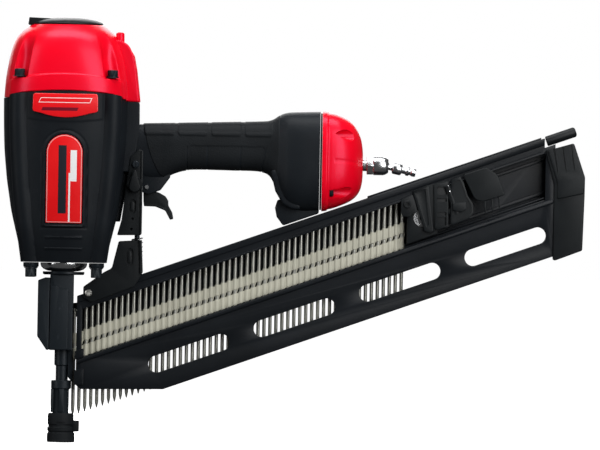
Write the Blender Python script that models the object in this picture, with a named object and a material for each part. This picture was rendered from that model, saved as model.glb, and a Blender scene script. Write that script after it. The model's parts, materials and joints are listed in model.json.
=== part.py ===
"""Pneumatic framing nailer with a slanted nail magazine, as separate pieces with real joints.

Units are metres, +Z up. The tool stands upright: +Z runs up the drive axis away from the nose,
+X runs to the handle and the magazine's rear, and Y = 0 is the plane of symmetry. The world
origin is on the nose pad's flat annular face, on the magazine side of its hole, so the drive
axis stands at X = -PAD_FACE_RADIUS. Everything is modelled from the drive axis under one root
empty. Numbers in the tables are millimetres, and MM turns them into metres.
"""

import math

import bmesh
import bpy
from mathutils import Matrix, Vector

MM = 0.001

# ---- clearances ----
GAP = 0.3  # between pieces that touch
SLIDE_GAP = 0.4  # round pieces that slide or turn

# ---- nose ----
PAD_FACE_RADIUS = 7.5
PAD_RADIUS = 11.75
PAD_LENGTH = 24.4
PAD_HOLE_RADIUS = 4.4
SLEEVE_RADIUS = 7.2
SLEEVE_WALL = 1.7
SLEEVE_TOP = 52.0
COLLAR_RADIUS = 8.8
CONTACT_LIFT = 10.0
BARREL_RADIUS = SLEEVE_RADIUS - SLEEVE_WALL - SLIDE_GAP
CHANNEL_RADIUS = 3.9
NOSE_BOTTOM = 77.3
NOSE_HALF_DEPTH = 14.0
NOSE_REAR = 8.6
COVER_THICKNESS = 9.7
FLANGE_BOTTOM = 138.5

# ---- nails ----
NAIL_PITCH = 4.98
NAIL_COUNT = 56
NAIL_SIDES = 4  # facets round each shank and head
NAIL_RADIUS = 1.5
NAIL_HEAD_RADIUS = 3.35
NAIL_LENGTH = 90.0
FIRST_NAIL_X = 9.7
FIRST_NAIL_TIP = 22.0
MAG_SLOPE = 0.3573  # rise per unit of X

# ---- body ----
BODY_BOTTOM = 151.0
BODY_TOP = 287.0
GASKET_THICKNESS = 1.2
CAP_TOP = 353.0
CYLINDER_RADIUS = 31.0
CYLINDER_WALL = 2.6
CYLINDER_BOTTOM = 157.0
CYLINDER_TOP = 300.0
BUMPER_HEIGHT = 13.5
PISTON_HEIGHT = 11.5
BLADE_RADIUS = 3.1
HEAD_BOLT_X = 38.9
HEAD_BOLT_Y = 37.5
HEAD_BOLT_SEAT = 305.7
LOW_BOLT_X = 27.5
LOW_BOLT_Y = 21.0
BOLT_RADIUS = 2.6
BOLT_HEAD_RADIUS = 4.3

# ---- handle ----
GRIP_FRONT = 88.0
GRIP_REAR = 170.0
GRIP_THICKNESS = 3.0
CHAMBER_RADIUS = 9.0
CHAMBER_Z = 250.0
HOUSING_REAR = 213.4
CAP_END_X = 247.0
END_CAP_HALF_WIDTH = 31.0

# ---- trigger ----
TRIGGER_PIVOT = (68.7, 215.5)
TRIGGER_HALF_WIDTH = 6.0
TRIGGER_PIN_RADIUS = 1.6
STEM_X = 75.2
VALVE_RADIUS = 5.2

# ---- magazine ----
MAG_FRONT = 11.9
MAG_REAR = 411.0
MAG_HALF_WIDTH = 11.0
MAG_WALL = 2.6
MAG_TOP_AT_FRONT = 122.9
ROOF_DEPTH = 7.6
WINDOW_TOP = 12.6  # below the rail's top line
WINDOW_BOTTOM = 53.0
SLOT_RADIUS = 7.1
SLOT_FIRST_X = 79.4
SLOT_LENGTH = 54.0
SLOT_PITCH = 88.0
SLOT_DROP = 80.2  # below the rail's top line

# ---- air fitting ----
FITTING_Z = 236.9
BALL_X = 266.5
BALL_RADIUS = 5.6
PLUG_TILT = math.radians(11.3)

SEGMENTS = 24


def rail_z(x):
    """Height of the magazine's top line at x."""
    return MAG_TOP_AT_FRONT + MAG_SLOPE * (x - MAG_FRONT)


# ---- scene helpers ----
for old in list(bpy.data.objects):
    bpy.data.objects.remove(old, do_unlink=True)

root = bpy.data.objects.new("drive_axis", None)
root.location = (-PAD_FACE_RADIUS * MM, 0, 0)
bpy.context.scene.collection.objects.link(root)

materials = {}


def material(name, colour, roughness, metallic=0.0):
    """One Principled material per name."""
    if name not in materials:
        made = bpy.data.materials.new(name)
        made.use_nodes = True
        shader = made.node_tree.nodes["Principled BSDF"]
        shader.inputs["Base Color"].default_value = (*colour, 1)
        shader.inputs["Roughness"].default_value = roughness
        shader.inputs["Metallic"].default_value = metallic
        materials[name] = made
    return materials[name]


LOOKS = {
    "red_paint": ((0.75, 0.02, 0.015), 0.25, 0.0),
    "black_casting": ((0.018, 0.019, 0.022), 0.55, 0.0),
    "black_rubber": ((0.015, 0.015, 0.017), 0.8, 0.0),
    "black_anodised": ((0.014, 0.014, 0.016), 0.35, 0.6),
    "black_plastic": ((0.012, 0.012, 0.014), 0.4, 0.0),
    "dark_steel": ((0.05, 0.055, 0.065), 0.45, 0.8),
    "bright_steel": ((0.6, 0.6, 0.62), 0.25, 1.0),
    "zinc": ((0.5, 0.48, 0.44), 0.4, 1.0),
    "aluminium": ((0.7, 0.7, 0.7), 0.35, 1.0),
    "amber_urethane": ((0.6, 0.35, 0.08), 0.5, 0.0),
}


def finish(mesh, name, look, parent=None, helper=False):
    """Turns a bmesh into an object: outward faces, smooth shading, a material."""
    bmesh.ops.remove_doubles(mesh, verts=mesh.verts, dist=1e-7)
    bmesh.ops.recalc_face_normals(mesh, faces=mesh.faces)
    data = bpy.data.meshes.new(name)
    mesh.to_mesh(data)
    mesh.free()
    data.shade_smooth()
    data.set_sharp_from_angle(angle=math.radians(35))
    made = bpy.data.objects.new(name, data)
    bpy.context.scene.collection.objects.link(made)
    made.parent = parent or root
    if helper:
        made.hide_render = True
        made.display_type = "WIRE"
    else:
        data.materials.append(material(look, *LOOKS[look]))
    return made


def skin(rings, loop=False):
    """A closed mesh through rings of equal length: capped at both ends, or joined end to end."""
    mesh = bmesh.new()
    made = []
    for ring in rings:
        if len(ring) == 1:
            made.append([mesh.verts.new(Vector(ring[0]) * MM)])
        else:
            made.append([mesh.verts.new(Vector(point) * MM) for point in ring])
    pairs = list(zip(made, made[1:]))
    if loop:
        pairs.append((made[-1], made[0]))
    for low, high in pairs:
        count = max(len(low), len(high))
        for i in range(count):
            j = (i + 1) % count
            corners = [low[i % len(low)], low[j % len(low)], high[j % len(high)], high[i % len(high)]]
            face = list(dict.fromkeys(corners))
            mesh.faces.new(face)
    if not loop:
        for end in (made[0], made[-1]):
            if len(end) > 2:
                mesh.faces.new(end)
    return mesh


def prism(name, outline, y0, y1, look=None, slant=0.0, slant_z=0.0, helper=False):
    """An outline in X and Z pushed along Y, with Y leaning by slant per unit of height."""
    rings = []
    for y in (y0, y1):
        rings.append([(x, y + slant * (z - slant_z), z) for x, z in outline])
    return finish(skin(rings), name, look, helper=helper)


def plan(name, outline, z0, z1, look=None, helper=False):
    """An outline in X and Y pushed along Z."""
    rings = [[(x, y, z) for x, y in outline] for z in (z0, z1)]
    return finish(skin(rings), name, look, helper=helper)


def box(name, x0, x1, y0, y1, z0, z1, look=None, helper=False):
    return prism(name, [(x0, z0), (x1, z0), (x1, z1), (x0, z1)], y0, y1, look, helper=helper)


AXES = {
    "Z": Matrix.Identity(3),
    "X": Matrix(((0, 0, 1), (1, 0, 0), (0, 1, 0))),
    "Y": Matrix(((1, 0, 0), (0, 0, -1), (0, 1, 0))),
}


def turned(name, profile, centre, look=None, axis="Z", tube=False, steps=SEGMENTS, helper=False):
    """A profile of (radius, height) turned about an axis: solid, or a closed ring if tube."""
    turn = AXES[axis] if isinstance(axis, str) else axis
    rings = []
    for radius, height in profile:
        if radius == 0:
            rings.append([turn @ Vector((0, 0, height)) + Vector(centre)])
            continue
        ring = []
        for i in range(steps):
            a = 2 * math.pi * i / steps
            spot = Vector((radius * math.cos(a), radius * math.sin(a), height))
            ring.append(turn @ spot + Vector(centre))
        rings.append(ring)
    return finish(skin(rings, loop=tube), name, look, helper=helper)


def rod(name, radius, centre, low, high, look=None, axis="Z", steps=12, helper=False):
    return turned(name, [(radius, low), (radius, high)], centre, look, axis, False, steps, helper)


def tube(name, inner, outer, low, high, centre, look=None, axis="Z", steps=SEGMENTS):
    profile = [(inner, low), (outer, low), (outer, high), (inner, high)]
    return turned(name, profile, centre, look, axis, True, steps)


def boolean(target, helper, operation):
    modifier = target.modifiers.new(helper.name, "BOOLEAN")
    modifier.operation = operation
    modifier.object = helper
    modifier.solver = "EXACT"
    modifier.use_self = False


def cut(target, *helpers):
    for helper in helpers:
        boolean(target, helper, "DIFFERENCE")


def add(target, *helpers):
    for helper in helpers:
        boolean(target, helper, "UNION")


def soften(target, width, segments=1, angle=40):
    modifier = target.modifiers.new("edge", "BEVEL")
    modifier.width = width * MM
    modifier.segments = segments
    modifier.limit_method = "ANGLE"
    modifier.angle_limit = math.radians(angle)
    modifier.harden_normals = False


def hinge_at(made, x, y, z):
    """Moves an object's origin to a point without moving its shape."""
    spot = Vector((x, y, z)) * MM
    made.data.transform(Matrix.Translation(-spot))
    made.location = spot


def oval(hx, hy, power, z=0.0, cx=0.0, cy=0.0, count=28):
    """A superellipse in X and Y: power 2 is an ellipse, higher is squarer."""
    points = []
    for i in range(count):
        a = 2 * math.pi * (i + 0.5) / count
        c, s = math.cos(a), math.sin(a)
        x = cx + hx * math.copysign(abs(c) ** (2 / power), c)
        y = cy + hy * math.copysign(abs(s) ** (2 / power), s)
        points.append((x, y, z))
    return points


def stadium(x0, z0, x1, z1, radius, steps=6):
    """Outline of a slot between two arc centres, in X and Z."""
    angle = math.atan2(z1 - z0, x1 - x0)
    points = []
    for (cx, cz), start in (((x1, z1), angle - math.pi / 2), ((x0, z0), angle + math.pi / 2)):
        for i in range(steps + 1):
            a = start + math.pi * i / steps
            points.append((cx + radius * math.cos(a), cz + radius * math.sin(a)))
    return points


def between(table, value):
    """Straight-line reading of a table of (position, reading)."""
    for (a, low), (b, high) in zip(table, table[1:]):
        if value <= b:
            t = max(0.0, (value - a) / (b - a))
            return low + (high - low) * t
    return table[-1][1]


# ---- main casting: barrel, handle core, rear housing ----
BARREL_HALF_X = [(151, 35.2), (165, 38.7), (181, 42.3), (194, 45.2), (207, 47.1), (228, 50.0), (261, 52.3), (288, 52.8)]
BARREL_HALF_Y = [(151, 33.0), (184, 42.0), (258, 49.5), (288, 51.0)]
LABEL_LOW, LABEL_HIGH = 184.0, 258.0
LABEL_SLANT = -(between(BARREL_HALF_Y, LABEL_HIGH) - between(BARREL_HALF_Y, LABEL_LOW)) / (LABEL_HIGH - LABEL_LOW)


def barrel_ring(z, shrink=0.0):
    return oval(between(BARREL_HALF_X, z) - shrink, between(BARREL_HALF_Y, z) - shrink, 3.2, z)


barrel_levels = [BODY_BOTTOM, 158, 166, 175, 184, 195, 207, 220, 235, 250, 265, 278, BODY_TOP]
main_body = finish(skin([barrel_ring(z) for z in barrel_levels]), "main_body", "black_casting")


def side_ring(x, low, high, half, power=2.8, lean=0.0, count=20):
    """One section across the handle, in Y and Z."""
    points = []
    middle, tall = (low + high) / 2, (high - low) / 2
    for i in range(count):
        a = 2 * math.pi * (i + 0.5) / count
        c, s = math.cos(a), math.sin(a)
        y = half * math.copysign(abs(c) ** (2 / power), c)
        z = middle + tall * math.copysign(abs(s) ** (2 / power), s)
        points.append((x + lean * (z - middle), y, z))
    return points


# Handle: X station, underside, top, half width.
HANDLE = [
    (38, 221, 268, 12.5), (62, 220, 268.4, 13.5), (86, 221, 268.9, 15.5), (93, 229.5, 269.2, 17.0),
    (110, 231, 269.8, 17.5), (140, 230.8, 270.8, 17.8), (163, 230.3, 271.6, 18.0), (171, 228.0, 272.5, 18.6),
    (176, 222.0, 275.5, 20.0), (180, 207.5, 279.2, 22.5), (186, 200.0, 280.2, 27.0),
    (198, 197.0, 280.8, 30.0), (HOUSING_REAR, 197.6, 281.3, END_CAP_HALF_WIDTH),
]


def handle_at(x, column):
    return between([(row[0], row[column]) for row in HANDLE], x)


def handle_ring(x, inset=0.0):
    return side_ring(x, handle_at(x, 1) + inset, handle_at(x, 2) - inset, handle_at(x, 3) - inset)


core_stations = [(38, 0), (62, 0), (GRIP_FRONT, 0), (GRIP_FRONT + 0.6, GRIP_THICKNESS + GAP)]
core_stations += [(x, GRIP_THICKNESS + GAP) for x in (93, 110, 140, 163, GRIP_REAR - 0.6)]
core_stations += [(x, 0) for x in (GRIP_REAR, 176, 180, 186, 198, HOUSING_REAR)]
handle_core = finish(skin([handle_ring(*row) for row in core_stations]), "handle_core_join", None, helper=True)
add(main_body, handle_core)

# Foot of the rear housing, down to the magazine rail.
foot_outline = [
    (180, 212), (183.5, rail_z(183.5) + 1.0), (HOUSING_REAR, rail_z(HOUSING_REAR) + 1.0), (HOUSING_REAR, 225),
    (190, 225),
]
add(main_body, prism("foot_join", foot_outline, -12, 12, helper=True))

# Trigger bracket ears either side of the trigger.
for side in (-1, 1):
    low, high = sorted((side * (TRIGGER_HALF_WIDTH + 1.0), side * (TRIGGER_HALF_WIDTH + 4.0)))
    ear = [(63.5, 211.0), (73.5, 210.5), (87.5, 219.0), (87.5, 232), (63.5, 232)]
    add(main_body, prism(f"ear_join_{side + 1}", ear, low, high, helper=True))

# Raised tongue behind the head badge, on both sides, with an arched top.
def arch(half, low, high, rise, grow=0.0, steps=12):
    points = [(-half - grow, low - grow), (half + grow, low - grow)]
    for i in range(steps + 1):
        t = 1 - 2 * i / steps
        points.append(((half + grow) * t, high + grow + rise * (1 - t * t)))
    return points


TONGUE = (31.0, 268.0, 289.5, 4.5)
for side in (-1, 1):
    low, high = sorted((side * 43.5, side * 51.4))
    add(main_body, prism(f"tongue_join_{side + 1}", arch(*TONGUE), low, high, helper=True))

# Bore for the cylinder, opening for the driver, bolt holes, handle chamber.
bore = [
    (0, BODY_BOTTOM - 5), (CHANNEL_RADIUS + 2.0, BODY_BOTTOM - 5), (CHANNEL_RADIUS + 2.0, CYLINDER_BOTTOM - GAP),
    (CYLINDER_RADIUS + GAP, CYLINDER_BOTTOM - GAP), (CYLINDER_RADIUS + GAP, BODY_TOP + 10), (0, BODY_TOP + 10),
]
cut(main_body, turned("cylinder_bore", bore, (0, 0, 0), helper=True))
chamber = rod("handle_chamber", CHAMBER_RADIUS, (0, 0, CHAMBER_Z), 45, HOUSING_REAR + 5, None, "X", 24, True)
cut(main_body, chamber)
BOLT_CORNERS = [(sx, sy) for sx in (-1, 1) for sy in (-1, 1)]
for index, (sx, sy) in enumerate(BOLT_CORNERS):
    spot = (sx * HEAD_BOLT_X, sy * HEAD_BOLT_Y, 0)
    cut(main_body, rod(f"head_bolt_hole_{index}", BOLT_RADIUS + GAP, spot, 259, BODY_TOP + 10, None, helper=True))
    spot = (sx * LOW_BOLT_X, sy * LOW_BOLT_Y, 0)
    hole = rod(f"low_bolt_hole_{index}", BOLT_RADIUS + GAP, spot, BODY_BOTTOM - 5, 154.6, None, helper=True)
    cut(main_body, hole)

# Valve bore and pin hole of the trigger.
cut(main_body, rod("valve_bore", VALVE_RADIUS + GAP, (STEM_X, 0, 0), 205, 236, None, helper=True))
pivot_x, pivot_z = TRIGGER_PIVOT
pin_hole = rod("trigger_pin_hole", TRIGGER_PIN_RADIUS + GAP, (pivot_x, 0, pivot_z), -20, 20, None, "Y", 16, True)
cut(main_body, pin_hole)
slot = box("trigger_slot", 62.5, 90, -TRIGGER_HALF_WIDTH - 0.8, TRIGGER_HALF_WIDTH + 0.8, 180, 218.3, helper=True)
cut(main_body, slot)

# Label recess on the near face.
LABEL_HALF = 15.1


def label_outline(grow=0.0):
    points = [(-LABEL_HALF - grow, LABEL_LOW - grow), (LABEL_HALF + grow, LABEL_LOW - grow)]
    for i in range(13):
        a = math.pi * i / 12
        radius = LABEL_HALF + grow
        points.append((radius * math.cos(a), LABEL_HIGH - LABEL_HALF + radius * math.sin(a)))
    return points


label_face = -between(BARREL_HALF_Y, LABEL_LOW)
pocket = prism("label_pocket", label_outline(GAP), label_face - 9, label_face + 1.6, None, LABEL_SLANT, LABEL_LOW, True)
cut(main_body, pocket)
body_label = prism(
    "body_label", label_outline(), label_face - 0.8, label_face + 1.3, "red_paint", LABEL_SLANT, LABEL_LOW
)

# Head badge on the tongue.
BADGE = (27.0, 272.6, 289.0, 3.0)
badge_pocket = prism("badge_pocket", arch(*BADGE, grow=GAP), -60, -50.4, helper=True)
cut(main_body, badge_pocket)
head_badge = prism("head_badge", arch(*BADGE), -52.2, -50.7, "red_paint")

# ---- grip sleeve: a rubber tube round the handle core ----
grip_rings = [handle_ring(x) for x in (GRIP_FRONT + 0.9, 93, 110, 140, 163, GRIP_REAR - 0.9)]
grip_inner = [handle_ring(x, GRIP_THICKNESS) for x in (GRIP_REAR - 0.9, 163, 140, 110, 93, GRIP_FRONT + 0.9)]
grip_sleeve = finish(skin(grip_rings + grip_inner, loop=True), "grip_sleeve", "black_rubber")

# ---- head ----
gasket_low = BODY_TOP + 0.2
gasket_high = gasket_low + GASKET_THICKNESS
gasket_rings = [oval(51.8, 50.0, 3.2, gasket_low), oval(51.8, 50.0, 3.2, gasket_high)]
head_gasket = finish(skin(gasket_rings), "head_gasket", "black_rubber")
cut(head_gasket, rod("gasket_bore", CYLINDER_RADIUS + 1.2, (0, 0, 0), 280, 295, None, steps=SEGMENTS, helper=True))

# Head cap: level, half X, half Y, squareness.
CAP_LEVELS = [
    (gasket_high + 0.2, 52.4, 51.2, 3.2), (303, 51.2, 50.0, 3.2), (315, 49.4, 48.2, 3.0), (325, 47.4, 46.2, 2.8),
    (333, 45.4, 44.2, 2.7), (339.5, 42.4, 41.4, 2.5), (344, 38.4, 37.6, 2.4), (347.5, 34.0, 33.6, 2.2), (350.5, 30.6, 30.4, 2.1),
]
head_cap = finish(skin([oval(hx, hy, power, z) for z, hx, hy, power in CAP_LEVELS]), "head_cap", "red_paint")
LOBE = [(30, gasket_high + 0.2), (60.4, gasket_high + 0.2), (58.9, 305), (56.6, 320), (53.8, 331), (49, 339.5), (30, 342)]
lobe_join = prism("rear_lobe_join", LOBE, -17, 17, helper=True)
soften(lobe_join, 4.0, 3, 60)
add(head_cap, lobe_join)
add(main_body, box("lobe_shelf_join", 44, 60.0, -16.5, 16.5, 262, BODY_TOP - 0.1, helper=True))
cap_cavity = rod("cap_cavity", CYLINDER_RADIUS + 1.2, (0, 0, 0), 280, 334, None, steps=SEGMENTS, helper=True)
RECESS_RADIUS = 27.4
RECESS_FLOOR = 346.0
cap_recess = rod("deflector_recess", RECESS_RADIUS, (0, 0, 0), RECESS_FLOOR, 370, None, steps=SEGMENTS, helper=True)
outlet = box("outlet_notch", -60, -20, -13.4, 13.4, RECESS_FLOOR, 370, helper=True)
exhaust_hole = rod("exhaust_hole", 7.0, (-14, 0, 0), 330, 350, None, helper=True)
screw_hole = rod("deflector_screw_hole", 2.9, (0, 0, 0), 330, 350, None, helper=True)
cut(head_cap, cap_cavity, cap_recess, outlet, exhaust_hole, screw_hole)
for side in (-1, 1):
    low, high = sorted((side * 43.0, side * 60.0))
    notch = prism(f"tongue_notch_{side + 1}", arch(*TONGUE, grow=0.4), low, high, helper=True)
    cut(head_cap, notch)
    cut(head_gasket, notch)
for index, (sx, sy) in enumerate(BOLT_CORNERS):
    spot = (sx * HEAD_BOLT_X, sy * HEAD_BOLT_Y, 0)
    cut(head_gasket, rod(f"gasket_hole_{index}", BOLT_RADIUS + GAP, spot, 280, 295, None, helper=True))
    through = rod(f"cap_bolt_hole_{index}", BOLT_RADIUS + GAP, spot, 280, HEAD_BOLT_SEAT + 5, None, helper=True)
    well = rod(f"cap_bolt_well_{index}", 6.4, spot, HEAD_BOLT_SEAT, 370, None, helper=True)
    cut(head_cap, through, well)
    side_name = ("front" if sx < 0 else "rear") + ("_near" if sy < 0 else "_far")
    bolt_profile = [
        (0, 264), (BOLT_RADIUS, 264), (BOLT_RADIUS, HEAD_BOLT_SEAT + GAP), (BOLT_HEAD_RADIUS, HEAD_BOLT_SEAT + GAP),
        (BOLT_HEAD_RADIUS, 312.0), (3.9, 312.4), (2.4, 312.4), (2.4, 309.4), (0, 309.4),
    ]
    turned(f"head_bolt_{side_name}", bolt_profile, spot, "dark_steel", steps=8)
    low_profile = [
        (0, 136.3), (2.4, 136.3), (2.4, 133.5), (3.9, 133.5), (BOLT_HEAD_RADIUS, 133.9),
        (BOLT_HEAD_RADIUS, FLANGE_BOTTOM - GAP), (BOLT_RADIUS, FLANGE_BOTTOM - GAP), (BOLT_RADIUS, 154), (0, 154),
    ]
    spot = (sx * LOW_BOLT_X, sy * LOW_BOLT_Y, 0)
    turned(f"nose_bolt_{side_name}", low_profile, spot, "dark_steel", steps=8)

# Exhaust deflector, which turns about the drive axis.
deflector_profile = [
    (3.0, RECESS_FLOOR + GAP), (RECESS_RADIUS - SLIDE_GAP, RECESS_FLOOR + GAP), (RECESS_RADIUS - SLIDE_GAP, 352.6),
    (29.6, 353.4), (28.0, 355.0), (20.0, 356.0), (7.0, 356.4), (7.0, 352.0), (3.0, 352.0),
]
exhaust_deflector = turned("exhaust_deflector", deflector_profile, (0, 0, 0), "black_plastic", tube=True)
vent = box("deflector_vent", -40, -9, -10.5, 10.5, RECESS_FLOOR - 5, 352.2, helper=True)
cut(exhaust_deflector, vent)
screw = [(0, 338), (2.5, 338), (2.5, 352.3), (5.2, 352.3), (5.2, 354.6), (4.4, 355.4), (0, 355.4)]
turned("deflector_screw", screw, (0, 0, 0), "dark_steel", steps=16)

# Head valve and its spring, above the cylinder.
VALVE_LIFT = 5.0
valve_low = CYLINDER_TOP + 0.5
valve_profile = [(0, valve_low), (30.5, valve_low), (30.5, valve_low + 5), (12, valve_low + 7), (12, valve_low + 9), (0, valve_low + 9)]
turned("head_valve", valve_profile, (0, 0, 0), "black_plastic")


def coil(name, x, radius, wire, low, high, turns, look, sides=4, per_turn=9):
    """A compression spring: one wire swept along a helix about a vertical axis."""
    rings = []
    count = turns * per_turn
    for k in range(count + 1):
        a = 2 * math.pi * k / per_turn
        rise = low + wire + (high - low - 2 * wire) * k / count
        ring = []
        for i in range(sides):
            b = 2 * math.pi * i / sides
            r = radius + wire * math.cos(b)
            ring.append((x + r * math.cos(a), r * math.sin(a), rise + wire * math.sin(b)))
        rings.append(ring)
    return finish(skin(rings), name, look)


coil("head_valve_spring", 0, 15.0, 1.1, valve_low + 5.6 + 1.7, 333.6, 5, "bright_steel")

# ---- cylinder, piston, bumper ----
tube("cylinder_sleeve", CYLINDER_RADIUS - CYLINDER_WALL, CYLINDER_RADIUS, CYLINDER_BOTTOM, CYLINDER_TOP, (0, 0, 0), "aluminium")
BUMPER_RADIUS = CYLINDER_RADIUS - CYLINDER_WALL - GAP
bumper_top = CYLINDER_BOTTOM + BUMPER_HEIGHT
bumper = [(5.2, CYLINDER_BOTTOM), (BUMPER_RADIUS, CYLINDER_BOTTOM), (BUMPER_RADIUS, bumper_top - 4), (21, bumper_top), (5.2, bumper_top)]
turned("bumper", bumper, (0, 0, 0), "amber_urethane", tube=True)
PISTON_REST = CYLINDER_TOP - GAP - PISTON_HEIGHT
PISTON_STROKE = PISTON_REST - bumper_top - GAP
piston_radius = CYLINDER_RADIUS - CYLINDER_WALL - SLIDE_GAP
piston = [
    (BLADE_RADIUS + GAP, PISTON_REST), (piston_radius, PISTON_REST), (piston_radius, CYLINDER_TOP - GAP),
    (BLADE_RADIUS + GAP, CYLINDER_TOP - GAP),
]
turned("piston", piston, (0, 0, 0), "aluminium", tube=True)
rod("driver_blade", BLADE_RADIUS, (0, 0, 0), 118, CYLINDER_TOP - 1.0, "bright_steel", steps=20)

# ---- nose ----
ring_profile = [(6.4, 143.4), (13.5, 143.4), (16.5, 145.0), (18.4, 148.0), (18.4, BODY_BOTTOM - GAP), (6.4, BODY_BOTTOM - GAP)]
turned("nose_ring", ring_profile, (0, 0, 0), "bright_steel", tube=True)

block = [(-10.9, NOSE_BOTTOM), (NOSE_REAR, NOSE_BOTTOM), (NOSE_REAR, 140), (-10.9, 140)]
nose_body = prism("nose_body", block, -NOSE_HALF_DEPTH, NOSE_HALF_DEPTH, "dark_steel")
plate = oval(LOW_BOLT_X, LOW_BOLT_Y + 3.0, 6, 0, count=24)
add(nose_body, plan("nose_plate_join", [(x, y) for x, y, _ in plate], FLANGE_BOTTOM, 143.0, helper=True))
barrel_profile = [(0, 40), (BARREL_RADIUS, 40), (BARREL_RADIUS, 64), (6.4, 65), (6.4, 90), (0, 90)]
add(nose_body, turned("barrel_join", barrel_profile, (0, 0, 0), steps=24, helper=True))
for index, (sx, sy) in enumerate(BOLT_CORNERS):
    spot = (sx * LOW_BOLT_X, sy * LOW_BOLT_Y, 0)
    add(nose_body, rod(f"lug_join_{index}", 6.3, spot, FLANGE_BOTTOM, BODY_BOTTOM - GAP, None, helper=True))
for index, (sx, sy) in enumerate(BOLT_CORNERS):
    spot = (sx * LOW_BOLT_X, sy * LOW_BOLT_Y, 0)
    cut(nose_body, rod(f"lug_hole_{index}", BOLT_RADIUS + GAP, spot, 130, 160, None, helper=True))
cut(nose_body, rod("drive_channel", CHANNEL_RADIUS, (0, 0, 0), 30, 160, None, steps=24, helper=True))
feed = box("feed_slot", 0.5, 30, -CHANNEL_RADIUS + 0.2, CHANNEL_RADIUS - 0.2, 30, FIRST_NAIL_TIP + NAIL_LENGTH + 3, helper=True)
cut(nose_body, feed)
cover_front = -10.9 - GAP - COVER_THICKNESS
cover = [
    (-10.9 - GAP, NOSE_BOTTOM), (-12.5, NOSE_BOTTOM), (cover_front, 88.7), (cover_front, 136.0), (-15.5, 138.2), (-10.9 - GAP, 138.2),
]
nose_cover = prism("nose_cover", cover, -NOSE_HALF_DEPTH - 0.8, NOSE_HALF_DEPTH + 0.8, "dark_steel")
soften(nose_cover, 2.2, 1, 80)

# Work contact: sleeve round the barrel, arm up the far side, rod into the guard.
ROD_X = 61.2
sleeve_inner = SLEEVE_RADIUS - SLEEVE_WALL
sleeve = [
    (sleeve_inner, 6.3), (SLEEVE_RADIUS, 6.3), (SLEEVE_RADIUS, 44), (COLLAR_RADIUS, 45), (COLLAR_RADIUS, SLEEVE_TOP), (sleeve_inner, SLEEVE_TOP),
]
contact_arm = turned("contact_arm", sleeve, (0, 0, 0), "dark_steel", tube=True, steps=24)
ARM_Y0, ARM_Y1 = 16.2, 18.8
arm_outline = [
    (-4.5, 46), (4.5, 46), (4.5, 104), (38, 111), (64, 136), (64, 149), (58, 149), (36, 121), (-4.5, 115),
]
add(contact_arm, prism("arm_join", arm_outline, ARM_Y0, ARM_Y1, helper=True))
add(contact_arm, box("arm_foot_join", -4.0, 4.0, 6.6, ARM_Y1 - 0.5, 46.5, 51.5, helper=True))
add(contact_arm, box("arm_bridge_join", ROD_X - 2.6, ROD_X + 2.3, -3.0, ARM_Y1 - 0.5, 143.5, 148.5, helper=True))
add(contact_arm, rod("arm_rod_join", 2.2, (ROD_X, 0, 0), 144.5, 190, None, steps=16, helper=True))
cut(contact_arm, rod("sleeve_clear", sleeve_inner, (0, 0, 0), 0, 60, None, steps=24, helper=True))
cut(contact_arm, box("sleeve_window", 2, 20, -3.7, 3.7, FIRST_NAIL_TIP - CONTACT_LIFT - 1, 60, helper=True))

coil("contact_spring", ROD_X, 4.4, 0.7, 149.4, 173.4, 6, "bright_steel")

pad_inner = SLEEVE_RADIUS + GAP
pad_profile = [
    (PAD_HOLE_RADIUS, 0), (10.6, 0), (PAD_RADIUS, 1.4), (PAD_RADIUS, 8.2), (PAD_RADIUS - 1.0, 8.8), (PAD_RADIUS, 9.6),
    (PAD_RADIUS, 12.2), (PAD_RADIUS - 1.0, 13.0), (PAD_RADIUS - 1.0, 14.4), (PAD_RADIUS, 15.0), (PAD_RADIUS, 22.8),
    (10.6, PAD_LENGTH), (pad_inner, PAD_LENGTH), (pad_inner, 6.0), (PAD_HOLE_RADIUS, 6.0),
]
nose_pad = turned("nose_pad", pad_profile, (0, 0, 0), "black_rubber", tube=True)
tab = box("pad_tab_join", 9.5, 15.3, -6, 6, 8.7, 18.6, helper=True)
add(nose_pad, tab)
cut(nose_pad, rod("pad_bore_clear", pad_inner, (0, 0, 0), 6.0, 30, None, steps=SEGMENTS, helper=True))
cut(nose_pad, box("pad_slot", 2, 25, -3.7, 3.7, FIRST_NAIL_TIP - CONTACT_LIFT - 1.2, 40, helper=True))

# ---- guard, depth wheel, mode selector ----
GUARD_Y = -17.2
guard = [
    (60.6, 246.5), (54.4, 240.5), (53.3, 229.5), (50.6, 208.5), (48.0, 187.4), (44.5, 174.5), (64.4, 175), (65.2, 176.5), (65.2, 246.5),
]
arm_guard = prism("arm_guard", guard, GUARD_Y, -14.6, "black_plastic")
guard_block = [(52.0, 205.0), (48.8, 187.4), (46.5, 176.0), (65.0, 176.0), (65.0, 205.0)]
add(arm_guard, prism("guard_block_join", guard_block, -15.5, 13, helper=True))
cut(arm_guard, rod("guard_rod_hole", 2.7, (ROD_X, 0, 0), 170, 202, None, steps=16, helper=True))
recess = prism("guard_recess", stadium(56.9, 196.5, 56.9, 201.3, 2.9), GUARD_Y - 5, GUARD_Y + 1.6, helper=True)
cut(arm_guard, recess)
wheel = (58.6, 217.5)
cut(arm_guard, rod("wheel_axle_hole", 2.3, (wheel[0], 0, wheel[1]), 10, 30, None, "Y", 16, True))
cut(arm_guard, rod("guard_screw_hole", 1.8, (59.1, 0, 234.3), 10, 30, None, "Y", 16, True))
cut(main_body, rod("guard_screw_seat", 1.8, (59.1, 0, 234.3), 8, 30, None, "Y", 16, True))
guard_screw = [(0, 9), (1.5, 9), (1.5, 17.5), (3.0, 17.5), (3.0, 18.9), (2.3, 19.6), (0, 19.6)]
turned("guard_screw", guard_screw, (59.1, 0, 234.3), "zinc", axis="Y", steps=16)


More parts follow.
